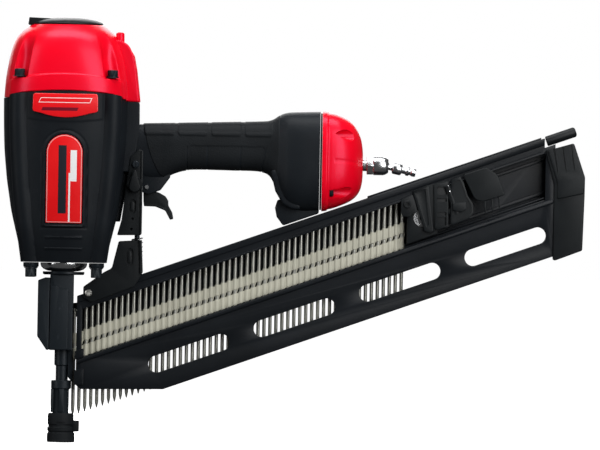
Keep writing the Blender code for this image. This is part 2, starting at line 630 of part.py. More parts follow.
def knurled(name, centre, low, high, radius, bore, look, teeth=20):
    """A finger wheel about a line along Y, with a toothed rim."""
    rings = []
    for y, shape in ((low, True), (high, True), (high, False), (low, False)):
        ring = []
        for i in range(teeth * 2):
            a = math.pi * i / teeth
            r = (radius - (0.6 if i % 2 else 0.0)) if shape else bore
            ring.append((centre[0] + r * math.cos(a), y, centre[1] + r * math.sin(a)))
        rings.append(ring)
    return finish(skin(rings, loop=True), name, look)


depth_wheel = knurled("depth_wheel", wheel, -20.0, -17.6, 6.7, 2.3, "black_plastic")
selector = [(0, 15.5), (2.0, 15.5), (2.0, 20.3), (3.8, 20.3), (3.8, 23.2), (0, 23.2)]
mode_selector = turned("mode_selector", selector, (wheel[0], 0, wheel[1]), "black_plastic", axis="Y", steps=20)
tip = [(55.2, 218.5), (62.0, 218.5), (59.6, 228.8), (57.6, 228.8)]
add(mode_selector, prism("selector_tip_join", tip, -22.8, -20.6, helper=True))

# ---- trigger ----
trigger_outline = [
    (65.0, 218.0), (72.0, 213.4), (79.7, 210.7), (84, 208.3), (86.6, 205), (86.9, 200.5), (90.1, 195), (91.3, 189.2),
    (88.5, 188.6), (84.2, 196.5), (76.0, 199.6), (67.0, 199.0), (66.0, 203),
]
trigger_outline[0] = (65.6, 213.4)
trigger = prism("trigger", trigger_outline, -TRIGGER_HALF_WIDTH, TRIGGER_HALF_WIDTH, "black_plastic")
hub = rod("trigger_hub_join", 3.2, (pivot_x, 0, pivot_z - 0.6), -TRIGGER_HALF_WIDTH + 0.2, TRIGGER_HALF_WIDTH - 0.2, None, "Y", 16, True)
add(trigger, hub)
bore = rod("trigger_bore", TRIGGER_PIN_RADIUS + SLIDE_GAP, (pivot_x, 0, pivot_z), -20, 20, None, "Y", 16, True)
cut(trigger, bore)
soften(trigger, 0.8, 1, 50)
rod("trigger_pin", TRIGGER_PIN_RADIUS, (pivot_x, 0, pivot_z), -11.2, 11.2, "bright_steel", "Y", 16)
valve_body = [
    (2.3, 218.6), (VALVE_RADIUS, 218.6), (VALVE_RADIUS, 235.5), (2.3, 235.5),
]
turned("trigger_valve", valve_body, (STEM_X, 0, 0), "aluminium", tube=True, steps=20)
rod("valve_stem", 1.8, (STEM_X, 0, 0), 213.7, 232, "bright_steel", steps=16)

# ---- end cap ----
cap_front = HOUSING_REAR + 2.1
EC = [
    (cap_front, 198.4, 281.0, 31.0), (220.5, 199.6, 280.6, 31.2), (228, 202.0, 279.4, 30.6), (236, 204.6, 276.6, 28.0),
    (242.5, 207.8, 271.6, 23.5), (CAP_END_X, 213.5, 263.0, 17.0), (CAP_END_X + 2.4, 221.5, 252.5, 10.5),
]
end_cap = finish(skin([side_ring(x, low, high, half) for x, low, high, half in EC]), "end_cap", "red_paint")
EG = [(x, handle_at(HOUSING_REAR, 1) + 1.0, handle_at(HOUSING_REAR, 2) - 1.0, END_CAP_HALF_WIDTH - 1.0) for x in (HOUSING_REAR + 0.3, HOUSING_REAR + 1.8)]
end_gasket = finish(skin([side_ring(*row) for row in EG]), "end_cap_gasket", "black_rubber")
cut(end_gasket, rod("gasket_air_hole", CHAMBER_RADIUS, (0, 0, CHAMBER_Z), 200, 230, None, "X", 24, True))
cavity = [side_ring(x, low, high, half) for x, low, high, half in ((cap_front - 5, 222, 266, 16), (232, 222, 266, 16), (240, 228, 256, 10))]
cut(end_cap, finish(skin(cavity), "end_cap_cavity", None, helper=True))
cut(end_cap, rod("inlet_hole", 5.2, (0, 0, FITTING_Z), 225, 260, None, "X", 20, True))
END_SCREWS = [(-24.0, 262.0), (24.0, 262.0), (-24.0, 214.0), (24.0, 214.0)]
for index, (y, z) in enumerate(END_SCREWS):
    name = ("near" if y < 0 else "far") + ("_top" if z > 240 else "_low")
    hole = rod(f"end_screw_hole_{index}", 2.2, (0, y, z), 195, 260, None, "X", 16, True)
    cut(end_gasket, hole)
    cut(main_body, hole)
    cut(end_cap, hole)
    well = rod(f"end_screw_well_{index}", 4.4, (0, y, z), 222, 260, None, "X", 16, True)
    cut(end_cap, well)
    shape = [(0, 200), (1.9, 200), (1.9, 222.3), (3.8, 222.3), (3.8, 225.6), (2.0, 225.6), (2.0, 223.6), (0, 223.6)]
    turned(f"end_cap_screw_{name}", shape, (0, y, z), "dark_steel", axis="X", steps=8)

# ---- air fitting ----
body_profile = [
    (0, 244.5), (4.75, 244.5), (4.75, 252.9), (8.6, 252.9), (8.6, 268.0), (6.9, 271.2), (5.25, 271.2), (5.25, 270.4),
    (6.2, 269.4), (6.2, 261.5), (5.0, 260.5), (0, 260.5),
]
swivel_body = turned("swivel_body", body_profile, (0, 0, FITTING_Z), "bright_steel", axis="X", steps=24)
ball = [(0, -BALL_RADIUS)]
for i in range(1, 9):
    a = -math.pi / 2 + math.pi * i / 10
    ball.append((BALL_RADIUS * math.cos(a), BALL_RADIUS * math.sin(a)))
plug_profile = [p for p in ball if p[1] < 4.9] + [
    (2.3, 5.3), (2.3, 8.6), (4.8, 9.6), (4.8, 15.4), (2.9, 16.4), (2.9, 19.6), (3.9, 20.4), (3.9, 22.0), (2.9, 22.8),
    (2.9, 24.2), (3.5, 24.8), (3.5, 26.8), (2.8, 28.2), (1.4, 28.2), (1.4, 14.0), (0, 14.0),
]
lean = Matrix.Rotation(math.pi / 2 + PLUG_TILT, 3, "Y")
swivel_plug = turned("swivel_plug", plug_profile, (0, 0, 0), "bright_steel", axis=lean, steps=14)
swivel_plug.location = Vector((BALL_X, 0, FITTING_Z)) * MM

# ---- magazine ----
FLOOR_FRONT = (85.3, 46.1)


def floor_z(x):
    """Height of the magazine's bottom edge at x."""
    return FLOOR_FRONT[1] + 0.3609 * (x - FLOOR_FRONT[0])


mag_outline = [
    (MAG_FRONT, rail_z(MAG_FRONT)), (MAG_FRONT, 48.5), (16.4, 44.8), FLOOR_FRONT,
    (MAG_REAR, floor_z(MAG_REAR)), (MAG_REAR, rail_z(MAG_REAR) - 7.8), (MAG_REAR - 9, rail_z(MAG_REAR - 9) - 7.8),
    (MAG_REAR - 9, rail_z(MAG_REAR - 9)),
]
magazine = prism("magazine_body", mag_outline, -MAG_HALF_WIDTH, MAG_HALF_WIDTH, "black_anodised")
channel_top = rail_z(0) - ROOF_DEPTH
channel = [
    (-10, channel_top - 10 * MAG_SLOPE), (-10, 0), (450, 0), (450, channel_top + 450 * MAG_SLOPE),
]
inner_half = MAG_HALF_WIDTH - MAG_WALL
cut(magazine, prism("nail_channel", channel, -inner_half, inner_half, helper=True))
window = [
    (16.5, rail_z(16.5) - WINDOW_TOP), (16.5, rail_z(16.5) - WINDOW_BOTTOM + 2), (20, rail_z(20) - WINDOW_BOTTOM),
    (MAG_REAR - 9, rail_z(MAG_REAR - 9) - WINDOW_BOTTOM), (MAG_REAR - 9, rail_z(MAG_REAR - 9) - WINDOW_TOP),
]
cut(magazine, prism("near_window", window, -20, -inner_half + 0.5, helper=True))
for index in range(4):
    x0 = SLOT_FIRST_X + SLOT_PITCH * index
    z0 = 67.0 + MAG_SLOPE * (x0 - SLOT_FIRST_X)
    slot = stadium(x0, z0, x0 + SLOT_LENGTH, z0 + MAG_SLOPE * SLOT_LENGTH, SLOT_RADIUS)
    cut(magazine, prism(f"panel_slot_{index}", slot, -20, 20, helper=True))

# Clamp tab at the front of the magazine.
front_tab = prism("front_tab_join", [(10.4, 61), (17, 61), (17, 68), (10.4, 68)], -10.8, -8.6, helper=True)
add(magazine, front_tab)

# Top rail strip on the magazine's roof.
def rail_outline(x0, x1, low, high):
    return [(x0, rail_z(x0) + low), (x1, rail_z(x1) + low), (x1, rail_z(x1) + high), (x0, rail_z(x0) + high)]


# Two raised ribs of the extruded roof stand beside the rail.
magazine_rail = prism("magazine_rail", rail_outline(254, MAG_REAR - 12, GAP, 2.0), -7, 7, "black_anodised")

# Front bracket on the near side, with its screw.
bracket = [
    (46, 169.7), (65.4, 171), (66.7, 144), (60, 132), (24, 118), (17, 122), (17, 131), (34, 143.4), (40.6, 147),
]
front_bracket = prism("front_bracket", bracket, -14.2, -11.4, "black_plastic")
cut(front_bracket, prism("bracket_groove", stadium(53, 152, 53, 162, 3.2), -20, -10, helper=True))
SCREW_AT = (21.5, 125.8)
cut(front_bracket, rod("bracket_screw_hole", 1.8, (SCREW_AT[0], 0, SCREW_AT[1]), 5, 30, None, "Y", 16, True))
cut(magazine, rod("bracket_screw_seat", 1.8, (SCREW_AT[0], 0, SCREW_AT[1]), 7.5, 30, None, "Y", 16, True))
bracket_screw = [(0, 8.8), (1.5, 8.8), (1.5, 14.5), (3.0, 14.5), (3.0, 16.2), (2.2, 16.8), (0, 16.8)]
turned("bracket_screw", bracket_screw, (SCREW_AT[0], 0, SCREW_AT[1]), "zinc", axis="Y", steps=16)

# Rear cap closing the magazine.
rear_x = MAG_REAR + GAP


def behind(dx, z):
    """A point dx behind the magazine's end, at the height z that belongs to an end at 411."""
    return MAG_REAR + dx, z + MAG_SLOPE * (MAG_REAR - 411.0)


rear = [
    (rear_x, floor_z(rear_x) - 1.0), behind(24.7, 171.0), behind(25.2, 219.7), behind(24.8, 232), behind(22.8, 238),
    behind(14.0, 262.6), behind(GAP, 257.8),
]
rear_cap = prism("rear_cap", rear, -15, 15, "black_plastic")
soften(rear_cap, 1.8, 1, 30)
for index, z in enumerate((206.0, 211.5, 217.0)):
    x, z = behind(6, z)
    cut(rear_cap, box(f"rear_slit_{index}", x, x + 17, -20, -13, z, z + 2.6, helper=True))
stop_axis = Matrix.Rotation(math.radians(90 - 19.66), 3, "Y")
stop_x, stop_z = behind(-7.6, 259.9)
stop_shape = [(0, 0), (4.3, 0), (4.3, 25.0), (3.5, 26.0), (0, 26.0)]
turned("rail_stop", stop_shape, (stop_x, 0, stop_z), "black_plastic", axis=stop_axis, steps=16)

# ---- nail strip: nails held by two bands ----
BAND_DROPS = [(32.2, 39.0), (42.3, 47.4)]
BAND_HALF = NAIL_RADIUS + 0.2
last_nail = FIRST_NAIL_X + NAIL_PITCH * (NAIL_COUNT - 1)


def band(x0, x1, drop):
    return rail_outline(x0, x1, -drop[1], -drop[0])


# The lower band, one link between the bands behind the last nail, and every nail, joined as one.
strip = prism("nail_strip", band(FIRST_NAIL_X - 1.9, last_nail + 1.2, BAND_DROPS[0]), -BAND_HALF, BAND_HALF, "zinc")
add(strip, prism("low_band_join", band(FIRST_NAIL_X - 1.9, last_nail + 1.2, BAND_DROPS[1]), -BAND_HALF, BAND_HALF, helper=True))
nails = bmesh.new()
for k in range(NAIL_COUNT):
    x = FIRST_NAIL_X + NAIL_PITCH * k
    low = FIRST_NAIL_TIP + MAG_SLOPE * (x - FIRST_NAIL_X)
    high = low + NAIL_LENGTH
    shape = [(0, low), (NAIL_RADIUS, low + 4.5), (NAIL_RADIUS, high - 1.3), (NAIL_HEAD_RADIUS, high - 1.3), (NAIL_HEAD_RADIUS, high)]
    last = None
    point = nails.verts.new(Vector((x, 0, low)) * MM)
    for radius, z in shape[1:]:
        ring = []
        for i in range(NAIL_SIDES):
            a = math.pi * 2 * i / NAIL_SIDES
            ring.append(nails.verts.new(Vector((x + radius * math.cos(a), radius * math.sin(a), z)) * MM))
        for i in range(NAIL_SIDES):
            j = (i + 1) % NAIL_SIDES
            if last is None:
                nails.faces.new((point, ring[j], ring[i]))
            else:
                nails.faces.new((last[i], last[j], ring[j], ring[i]))
        last = ring
    nails.faces.new(last)
add(strip, finish(nails, "nails_join", None, helper=True))

# ---- pusher ----
P0 = last_nail + NAIL_HEAD_RADIUS + 0.5
pusher_plate = [
    (292, 216), (321.4, 226), (323.0, 191), (310.5, 183), (303, 186), (297.6, 200), (285.5, 196.5), (285.5, 206.5), (291.5, 208.5),
]
PUSH_Y0, PUSH_Y1 = -15.4, -11.5
pusher = prism("pusher", pusher_plate, PUSH_Y0, PUSH_Y1, "black_plastic")
block = [
    (P0, rail_z(P0) - 50), (P0 + 26, rail_z(P0 + 26) - 50), (P0 + 26, rail_z(P0 + 26) - 15.0), (P0, rail_z(P0) - 15.0),
]
add(pusher, prism("pusher_block_join", block, -11.8, 6.5, helper=True))
COIL_AT = (P0 + 13, rail_z(P0 + 13) - 32)
cut(pusher, rod("coil_bore", 8.0, (COIL_AT[0], 0, COIL_AT[1]), -12, 6, None, "Y", 20, True))
tube("pusher_coil", 2.5, 7.6, -5.6, 5.4, (COIL_AT[0], 0, COIL_AT[1]), "bright_steel", "Y", 20)
latch = [
    (323.7, 226.6), (332, 229.6), (351.5, 238.3), (361.7, 231), (365.2, 223.5), (368.7, 214.3), (348.6, 209.8), (340.4, 206), (335, 199), (323.9, 196),
]
pusher_latch = prism("pusher_latch", latch, -20.6, -17.6, "black_plastic")
along = Vector((1, 0, MAG_SLOPE)).normalized()
across = Vector((-MAG_SLOPE, 0, 1)).normalized()
pin_turn = Matrix.Rotation(-math.atan(MAG_SLOPE), 3, "Y")
pin_base = Vector((327.5, -14.2, 203.0))
knuckle = turned("latch_knuckle_join", [(3.0, 0), (3.0, 14.0)], pin_base, None, pin_turn, False, 16, True)
add(pusher_latch, knuckle)
arm = prism("latch_arm_join", [(322.0, 205.5), (331.6, 205.5), (329.6, 214.5), (320.4, 214.5)], -18.4, -15.8, helper=True)
add(pusher_latch, arm)
cut(pusher_latch, turned("latch_bore", [(1.6, -20), (1.6, 40)], pin_base, None, pin_turn, False, 16, True))
for index, (start, end) in enumerate(((-5.4, -0.5), (14.5, 19.0))):
    lug = turned(f"latch_lug_join_{index}", [(3.0, start), (3.0, end)], pin_base, None, pin_turn, False, 16, True)
    add(pusher, lug)
    offset = across * ((start + end) / 2)
    spot = pin_base + offset
    lo, hi = (start + 0.4, end - 0.4)
    reach = [pin_base + across * lo, pin_base + across * hi]
    outline = [
        (reach[0].x - 9, reach[0].z - 3.0), (reach[0].x + 0.6, reach[0].z + 0.3), (reach[1].x + 0.6, reach[1].z + 0.3), (reach[1].x - 9, reach[1].z - 3.0),
    ]
    add(pusher, prism(f"lug_web_join_{index}", outline, -15.2, -12.6, helper=True))
cut(pusher, turned("knuckle_clear", [(3.5, -0.25), (3.5, 14.25)], pin_base, None, pin_turn, False, 16, True))
cut(pusher, turned("pin_bore", [(1.5, -20), (1.5, 40)], pin_base, None, pin_turn, False, 16, True))
turned("latch_pin", [(1.2, -6.0), (1.2, 19.6)], pin_base, "bright_steel", pin_turn, False, 12)
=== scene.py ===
# %% [markdown]
# A pneumatic framing nailer, dressed around its packed engineering model. The frame gives every piece's place
# in metres; this script adds the fine surfaces, the finishes, the light and the camera. Everything is measured
# from the drive axis, the upright line that the nail leaves along, so that one set of plain numbers in
# millimetres serves all the cells.

# %% Load the frame
import json
import math

import bpy
from mathutils import Matrix, Vector


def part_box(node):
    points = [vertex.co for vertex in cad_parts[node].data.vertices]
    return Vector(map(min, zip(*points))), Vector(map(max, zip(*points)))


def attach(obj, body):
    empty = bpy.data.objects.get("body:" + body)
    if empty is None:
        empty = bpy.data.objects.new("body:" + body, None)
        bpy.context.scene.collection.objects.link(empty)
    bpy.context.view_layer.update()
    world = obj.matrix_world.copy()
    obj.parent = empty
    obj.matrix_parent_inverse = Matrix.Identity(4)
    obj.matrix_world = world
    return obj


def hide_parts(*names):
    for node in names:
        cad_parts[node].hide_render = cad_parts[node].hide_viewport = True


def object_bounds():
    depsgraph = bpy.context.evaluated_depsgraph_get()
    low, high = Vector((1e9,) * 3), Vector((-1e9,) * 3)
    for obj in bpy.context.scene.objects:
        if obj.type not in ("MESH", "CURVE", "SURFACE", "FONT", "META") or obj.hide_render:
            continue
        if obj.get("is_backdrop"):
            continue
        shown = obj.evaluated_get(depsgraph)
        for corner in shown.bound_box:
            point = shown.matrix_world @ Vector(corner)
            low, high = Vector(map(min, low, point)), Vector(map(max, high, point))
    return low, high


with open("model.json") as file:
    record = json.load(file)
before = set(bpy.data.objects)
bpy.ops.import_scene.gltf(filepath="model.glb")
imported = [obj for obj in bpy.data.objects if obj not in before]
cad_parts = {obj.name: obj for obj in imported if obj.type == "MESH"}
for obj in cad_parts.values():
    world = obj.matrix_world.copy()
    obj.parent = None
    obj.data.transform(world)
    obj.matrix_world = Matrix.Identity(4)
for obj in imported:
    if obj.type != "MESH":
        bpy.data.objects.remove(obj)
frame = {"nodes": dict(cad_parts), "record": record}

cad_low, cad_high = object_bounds()
blade_low, blade_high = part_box("driver_blade")
AXIS_X = (blade_low[0] + blade_high[0]) / 2
MM = 0.001
print("drive axis at X =", round(AXIS_X, 5), "object box", [round(v, 4) for v in (*cad_low, *cad_high)])


# %% [markdown]
# Two small helpers keep the numbers readable. A place on the tool is written in millimetres from the drive
# axis, and turned into metres in the frame. Operators act on whatever is selected, so each piece starts from
# an empty selection.

# %% Places and selection
def at(x, y, z):
    """A place in millimetres from the drive axis, as metres in the frame."""
    return Vector((AXIS_X + x * MM, y * MM, z * MM))


def alone(piece=None):
    """Nothing selected but this piece."""
    if bpy.context.mode != "OBJECT":
        bpy.ops.object.mode_set(mode="OBJECT")
    bpy.ops.object.select_all(action="DESELECT")
    if piece is not None:
        piece.select_set(True)
        bpy.context.view_layer.objects.active = piece


def apply_all(piece):
    """Applies a piece's modifiers in order."""
    alone(piece)
    for modifier in list(piece.modifiers):
        bpy.ops.object.modifier_apply(modifier=modifier.name)


def smooth(piece, angle=35):
    alone(piece)
    bpy.ops.object.shade_smooth_by_angle(angle=math.radians(angle), keep_sharp_edges=False)
    return piece


def tidy(piece, outward=True):
    """Merges doubles, drops loose edges and turns the faces outwards."""
    alone(piece)
    bpy.ops.object.mode_set(mode="EDIT")
    bpy.ops.mesh.select_all(action="SELECT")
    bpy.ops.mesh.remove_doubles(threshold=2e-6)
    bpy.ops.mesh.delete_loose()
    if outward:
        bpy.ops.mesh.select_all(action="SELECT")
        bpy.ops.mesh.normals_make_consistent(inside=False)
    bpy.ops.object.mode_set(mode="OBJECT")
    return piece


def place(value, table):
    """Smooth reading of a table of (position, reading), eased between its rows."""
    if value <= table[0][0]:
        return table[0][1]
    for k in range(len(table) - 1):
        (a, low), (b, high) = table[k], table[k + 1]
        if value <= b:
            before = table[max(k - 1, 0)]
            after = table[min(k + 2, len(table) - 1)]
            span = b - a
            s0 = (high - before[1]) / (b - before[0]) * span
            s1 = (after[1] - low) / (after[0] - a) * span
            t = (value - a) / span
            return (
                (2 * t**3 - 3 * t**2 + 1) * low + (t**3 - 2 * t**2 + t) * s0
                + (3 * t**2 - 2 * t**3) * high + (t**3 - t**2) * s1
            )
    return table[-1][1]


# %% [markdown]
# Long shells such as the barrel and the grip are sheets wrapped round a core. A grid primitive is added with
# as many squares as the surface needs, each of its points is carried to its place round and along the shell,
# the seam is merged, and the two open ends are filled. A flat part is an outline: a circle primitive whose
# points are slid to the outline, extruded through the part's thickness and given rounded edges by a Bevel.

# %% Shell and plate makers
def wrapped(name, around, along, where, close=True):
    """A grid wrapped into a closed shell: where(u, v) gives the place at a share round and along it."""
    alone()
    bpy.ops.mesh.primitive_grid_add(x_subdivisions=around, y_subdivisions=along, size=2)
    piece = bpy.context.object
    piece.name = piece.data.name = name
    for vertex in piece.data.vertices:
        u = (vertex.co.x + 1) / 2
        v = (vertex.co.y + 1) / 2
        vertex.co = where(0.0 if u > 0.99999 else u, v)
    piece.location = (0, 0, 0)
    tidy(piece, False)
    if close:
        bpy.ops.object.mode_set(mode="EDIT")
        bpy.ops.mesh.select_all(action="DESELECT")
        bpy.ops.mesh.select_non_manifold(extend=False)
        bpy.ops.mesh.fill_holes(sides=0)
        bpy.ops.object.mode_set(mode="OBJECT")
    return tidy(piece)


def soften(piece, width, segments=2, angle=40):
    """Rounded edges where the surface turns sharply."""
    modifier = piece.modifiers.new("edges", "BEVEL")
    modifier.width = width * MM
    modifier.segments = segments
    modifier.limit_method = "ANGLE"
    modifier.angle_limit = math.radians(angle)
    modifier.harden_normals = False
    apply_all(piece)
    return piece


def plate(name, outline, y0, y1, edge=0.0, segments=2):
    """A flat part: its outline in X and Z, pushed from y0 to y1, with rounded edges."""
    alone()
    bpy.ops.mesh.primitive_circle_add(vertices=len(outline), radius=1, fill_type="NGON")
    piece = bpy.context.object
    piece.name = piece.data.name = name
    for vertex, (x, z) in zip(piece.data.vertices, outline):
        vertex.co = at(x, y0, z)
    piece.location = (0, 0, 0)
    bpy.ops.object.mode_set(mode="EDIT")
    bpy.ops.mesh.select_all(action="SELECT")
    bpy.ops.mesh.extrude_region_move(TRANSFORM_OT_translate={"value": (0, (y1 - y0) * MM, 0)})
    bpy.ops.object.mode_set(mode="OBJECT")
    tidy(piece)
    return soften(piece, edge, segments) if edge else piece


def lathe(name, profile, centre, axis=(0, 0, 1), steps=48):
    """A profile of (radius, height) spun about an axis through centre. Heights run along the axis."""
    alone()
    bpy.ops.mesh.primitive_circle_add(vertices=len(profile), radius=1, fill_type="NOTHING")
    piece = bpy.context.object
    piece.name = piece.data.name = name
    for vertex, (radius, height) in zip(piece.data.vertices, profile):
        vertex.co = Vector((radius, 0, height)) * MM
    bpy.ops.object.mode_set(mode="EDIT")
    bpy.ops.mesh.select_all(action="SELECT")
    bpy.ops.mesh.spin(steps=steps, angle=2 * math.pi, center=(0, 0, 0), axis=(0, 0, 1))
    bpy.ops.object.mode_set(mode="OBJECT")
    tidy(piece)
    alone(piece)
    turn = Vector(axis).normalized().to_track_quat("Z", "Y").to_matrix().to_4x4()
    piece.data.transform(Matrix.Translation(at(*centre)) @ turn)
    return piece


def combine(piece, other, operation):
    """One Boolean with another piece, which is then removed."""
    modifier = piece.modifiers.new("shape", "BOOLEAN")
    modifier.operation = operation
    modifier.object = other
    modifier.solver = "EXACT"
    apply_all(piece)
    bpy.data.objects.remove(other, do_unlink=True)
    return piece


def carve(piece, *cutters):
    for cutter in cutters:
        combine(piece, cutter, "DIFFERENCE")
    return piece


def weld(piece, *others):
    for other in others:
        combine(piece, other, "UNION")
    return piece


def join(first, *others, name=None):
    """Pieces that touch made one object under a new name, without changing their surfaces."""
    alone(first)
    for other in others:
        other.select_set(True)
    bpy.context.view_layer.objects.active = first
    bpy.ops.object.join()
    if name:
        first.name = first.data.name = name
    return first


def stadium(x0, z0, x1, z1, radius, steps=10):
    """Outline of a slot between two arc centres."""
    angle = math.atan2(z1 - z0, x1 - x0)
    points = []
    for (cx, cz), start in (((x1, z1), angle - math.pi / 2), ((x0, z0), angle + math.pi / 2)):
        for i in range(steps + 1):
            a = start + math.pi * i / steps
            points.append((cx + radius * math.cos(a), cz + radius * math.sin(a)))
    return points


def rounded(corners, radius, steps=4):
    """An outline with each corner replaced by an arc; a radius may be given per corner."""
    points = []
    count = len(corners)
    for i, corner in enumerate(corners):
        before = Vector(corners[i - 1][:2])
        here = Vector(corner[:2])
        after = Vector(corners[(i + 1) % count][:2])
        r = corner[2] if len(corner) > 2 else radius
        a, b = (before - here), (after - here)
        la, lb = a.length, b.length
        a.normalize()
        b.normalize()
        turn = a.angle(b)
        reach = min(r / max(math.tan(turn / 2), 1e-3), la * 0.48, lb * 0.48)
        if r == 0 or reach < 0.05:
            points.append((here.x, here.y))
            continue
        p0, p1 = here + a * reach, here + b * reach
        for k in range(steps + 1):
            t = k / steps
            spot = p0 * (1 - t) ** 2 + here * 2 * t * (1 - t) + p1 * t**2
            points.append((spot.x, spot.y))
    return points


# %% [markdown]
# Finishes are written as arithmetic. A Flow wraps one output of a shader node, and adding or multiplying two
# of them adds the Math node that does it. A Finish is one material with its Principled shader: constants go
# straight on the shader's sockets, and what varies over the surface is linked.

# %% Shader arithmetic
class Flow:
    """One shader value that arithmetic grows nodes from."""

    def __init__(self, finish, out):
        self.finish, self.out = finish, out

    def math(self, operation, a, b=None):
        return self.finish.sum(operation, a, b)

    def __add__(self, other):
        return self.math("ADD", self, other)

    def __radd__(self, other):
        return self.math("ADD", other, self)

    def __sub__(self, other):
        return self.math("SUBTRACT", self, other)

    def __rsub__(self, other):
        return self.math("SUBTRACT", other, self)

    def __mul__(self, other):
        return self.math("MULTIPLY", self, other)

    def __rmul__(self, other):
        return self.math("MULTIPLY", other, self)

    def __gt__(self, other):
        return self.math("GREATER_THAN", self, other)

    def __lt__(self, other):
        return self.math("LESS_THAN", self, other)

    def ramp(self, low, high):
        """0 below low, 1 above high, eased between."""
        settings = {"interpolation_type": "SMOOTHSTEP"}
        return self.finish.node("ShaderNodeMapRange", settings, {0: self, 1: low, 2: high, 3: 0.0, 4: 1.0})

    def spread(self, low, high):
        """A 0 to 1 value laid over low to high."""
        return self * (high - low) + low


class Finish:
    """One material: its node tree, its Principled shader and the Object coordinates."""

    def __init__(self, name, colour, roughness, metallic=0.0, **constants):
        self.material = bpy.data.materials.new(name)
        self.material.use_nodes = True
        self.tree = self.material.node_tree
        self.shader = self.tree.nodes["Principled BSDF"]
        self.set("Base Color", (*colour, 1))
        self.set("Roughness", roughness)
        self.set("Metallic", metallic)
        for socket, value in constants.items():
            self.set(socket.replace("_", " "), value)
        self.where = self.node("ShaderNodeTexCoord", {}, {}, "Object")

    def set(self, socket, value):
        target = self.shader.inputs[socket]
        if isinstance(value, Flow):
            self.tree.links.new(value.out, target)
        else:
            target.default_value = value

    def node(self, kind, settings, values, out=0):
        made = self.tree.nodes.new(kind)
        for key, value in settings.items():
            if key == "stops":
                ramp = made.color_ramp
                for (position, colour), element in zip(value, list(ramp.elements)):
                    element.position, element.color = position, colour
                for position, colour in value[2:]:
                    ramp.elements.new(position).color = colour
            else:
                setattr(made, key, value)
        for key, value in values.items():
            if isinstance(value, Flow):
                self.tree.links.new(value.out, made.inputs[key])
            else:
                made.inputs[key].default_value = value
        return Flow(self, made.outputs[out])

    def sum(self, operation, a, b=None):
        """One Math node."""
        return self.node("ShaderNodeMath", {"operation": operation}, {0: a} if b is None else {0: a, 1: b})

    def noise(self, scale, detail=3.0, roughness=0.5, vector=None):
        values = {"Vector": vector or self.where, "Scale": scale, "Detail": detail, "Roughness": roughness}
        return self.node("ShaderNodeTexNoise", {}, values, "Fac")

    def cells(self, scale, feature="F1"):
        values = {"Vector": self.where, "Scale": scale}
        return self.node("ShaderNodeTexVoronoi", {"feature": feature}, values, "Distance")

    def stretched(self, x, y, z):
        """The coordinates scaled per axis, which draws a pattern out along one of them."""
        return self.node("ShaderNodeMapping", {}, {"Vector": self.where, "Scale": (x, y, z)})

    def axis(self, name):
        return self.node("ShaderNodeSeparateXYZ", {}, {0: self.where}, name)

    def mix(self, share, low, high):
        """Colour between low and high by a 0 to 1 share."""
        values = {"Factor": share, 6: low, 7: high}
        return self.node("ShaderNodeMix", {"data_type": "RGBA"}, values, 2)

    def bump(self, height, strength, distance):
        """Height in 0 to 1 as fine relief of the surface."""
        values = {"Strength": strength, "Distance": distance, "Height": height}
        self.set("Normal", self.node("ShaderNodeBump", {}, values))


def rgb(r, g, b):
    return (r, g, b, 1.0)


FINISHES = {}


def paint(piece, finish):
    """Gives a piece one finish by its name."""
    piece.data.materials.clear()
    piece.data.materials.append(FINISHES[finish].material)
    return piece


# %% [markdown]
# The red of the head cap and the end cap is a glossy lacquer over a smooth moulding: saturated, with a clear
# coat and only a trace of orange peel. The barrel and the handle are a light-alloy casting with a fine
# textured black coat, so its relief is a fine random grain and its roughness wanders a little.

# %% Lacquer and castings
red = Finish(
    "red_lacquer", (0.7, 0.001, 0.01), 0.34, Coat_Weight=0.08, Coat_Roughness=0.2, Specular_IOR_Level=0.3,
    Specular_Tint=(1.0, 0.3, 0.7, 1.0),
)
peel = red.noise(240, 2.0)
cloud = red.noise(26, 2.0)
red.set("Base Color", red.mix(cloud, rgb(0.66, 0.0, 0.008), rgb(0.78, 0.001, 0.014)))
red.set("Roughness", cloud.spread(0.30, 0.40))
red.bump(peel, 0.06, 0.0004)
FINISHES["red"] = red

cast = Finish("black_textured_coat", (0.004, 0.006, 0.008), 0.5, Specular_IOR_Level=0.12)
pebble = cast.noise(1500, 3.0, 0.6)
cloud = cast.noise(30, 3.0)
cast.set("Base Color", cast.mix(cloud, rgb(0.004, 0.005, 0.007), rgb(0.010, 0.013, 0.016)))
cast.set("Roughness", (cloud * 0.6 + pebble * 0.4).spread(0.40, 0.58))
cast.bump(pebble, 0.35, 0.0003)
FINISHES["cast"] = cast

rubber = Finish("grip_rubber", (0.014, 0.014, 0.016), 0.7, Specular_IOR_Level=0.12)
leather = rubber.cells(900)
cloud = rubber.noise(40, 3.0)
rubber.set("Base Color", rubber.mix(cloud, rgb(0.004, 0.005, 0.006), rgb(0.010, 0.012, 0.014)))
rubber.set("Roughness", cloud.spread(0.55, 0.72))
rubber.bump(leather, 0.4, 0.0003)
FINISHES["rubber"] = rubber

# %% [markdown]
# The magazine is extruded aluminium, anodised black: a satin metal skin with faint drawing lines along the
# extrusion. Small mouldings such as the trigger and the pusher are a satin black plastic with a spark-eroded
# grain.

# %% Anodised metal and mouldings
anodised = Finish("black_anodised", (0.005, 0.007, 0.009), 0.34, Specular_IOR_Level=0.12)
lines = anodised.noise(60, 4.0, 0.6, anodised.stretched(0.25, 6.0, 10.0))
dust = anodised.noise(900, 2.0)
cloud = anodised.noise(18, 3.0)
anodised.set("Base Color", anodised.mix(cloud, rgb(0.004, 0.005, 0.006), rgb(0.010, 0.012, 0.015)))
anodised.set("Roughness", (lines * 0.5 + cloud * 0.5).spread(0.26, 0.46))
anodised.bump(dust, 0.12, 0.0002)
FINISHES["anodised"] = anodised

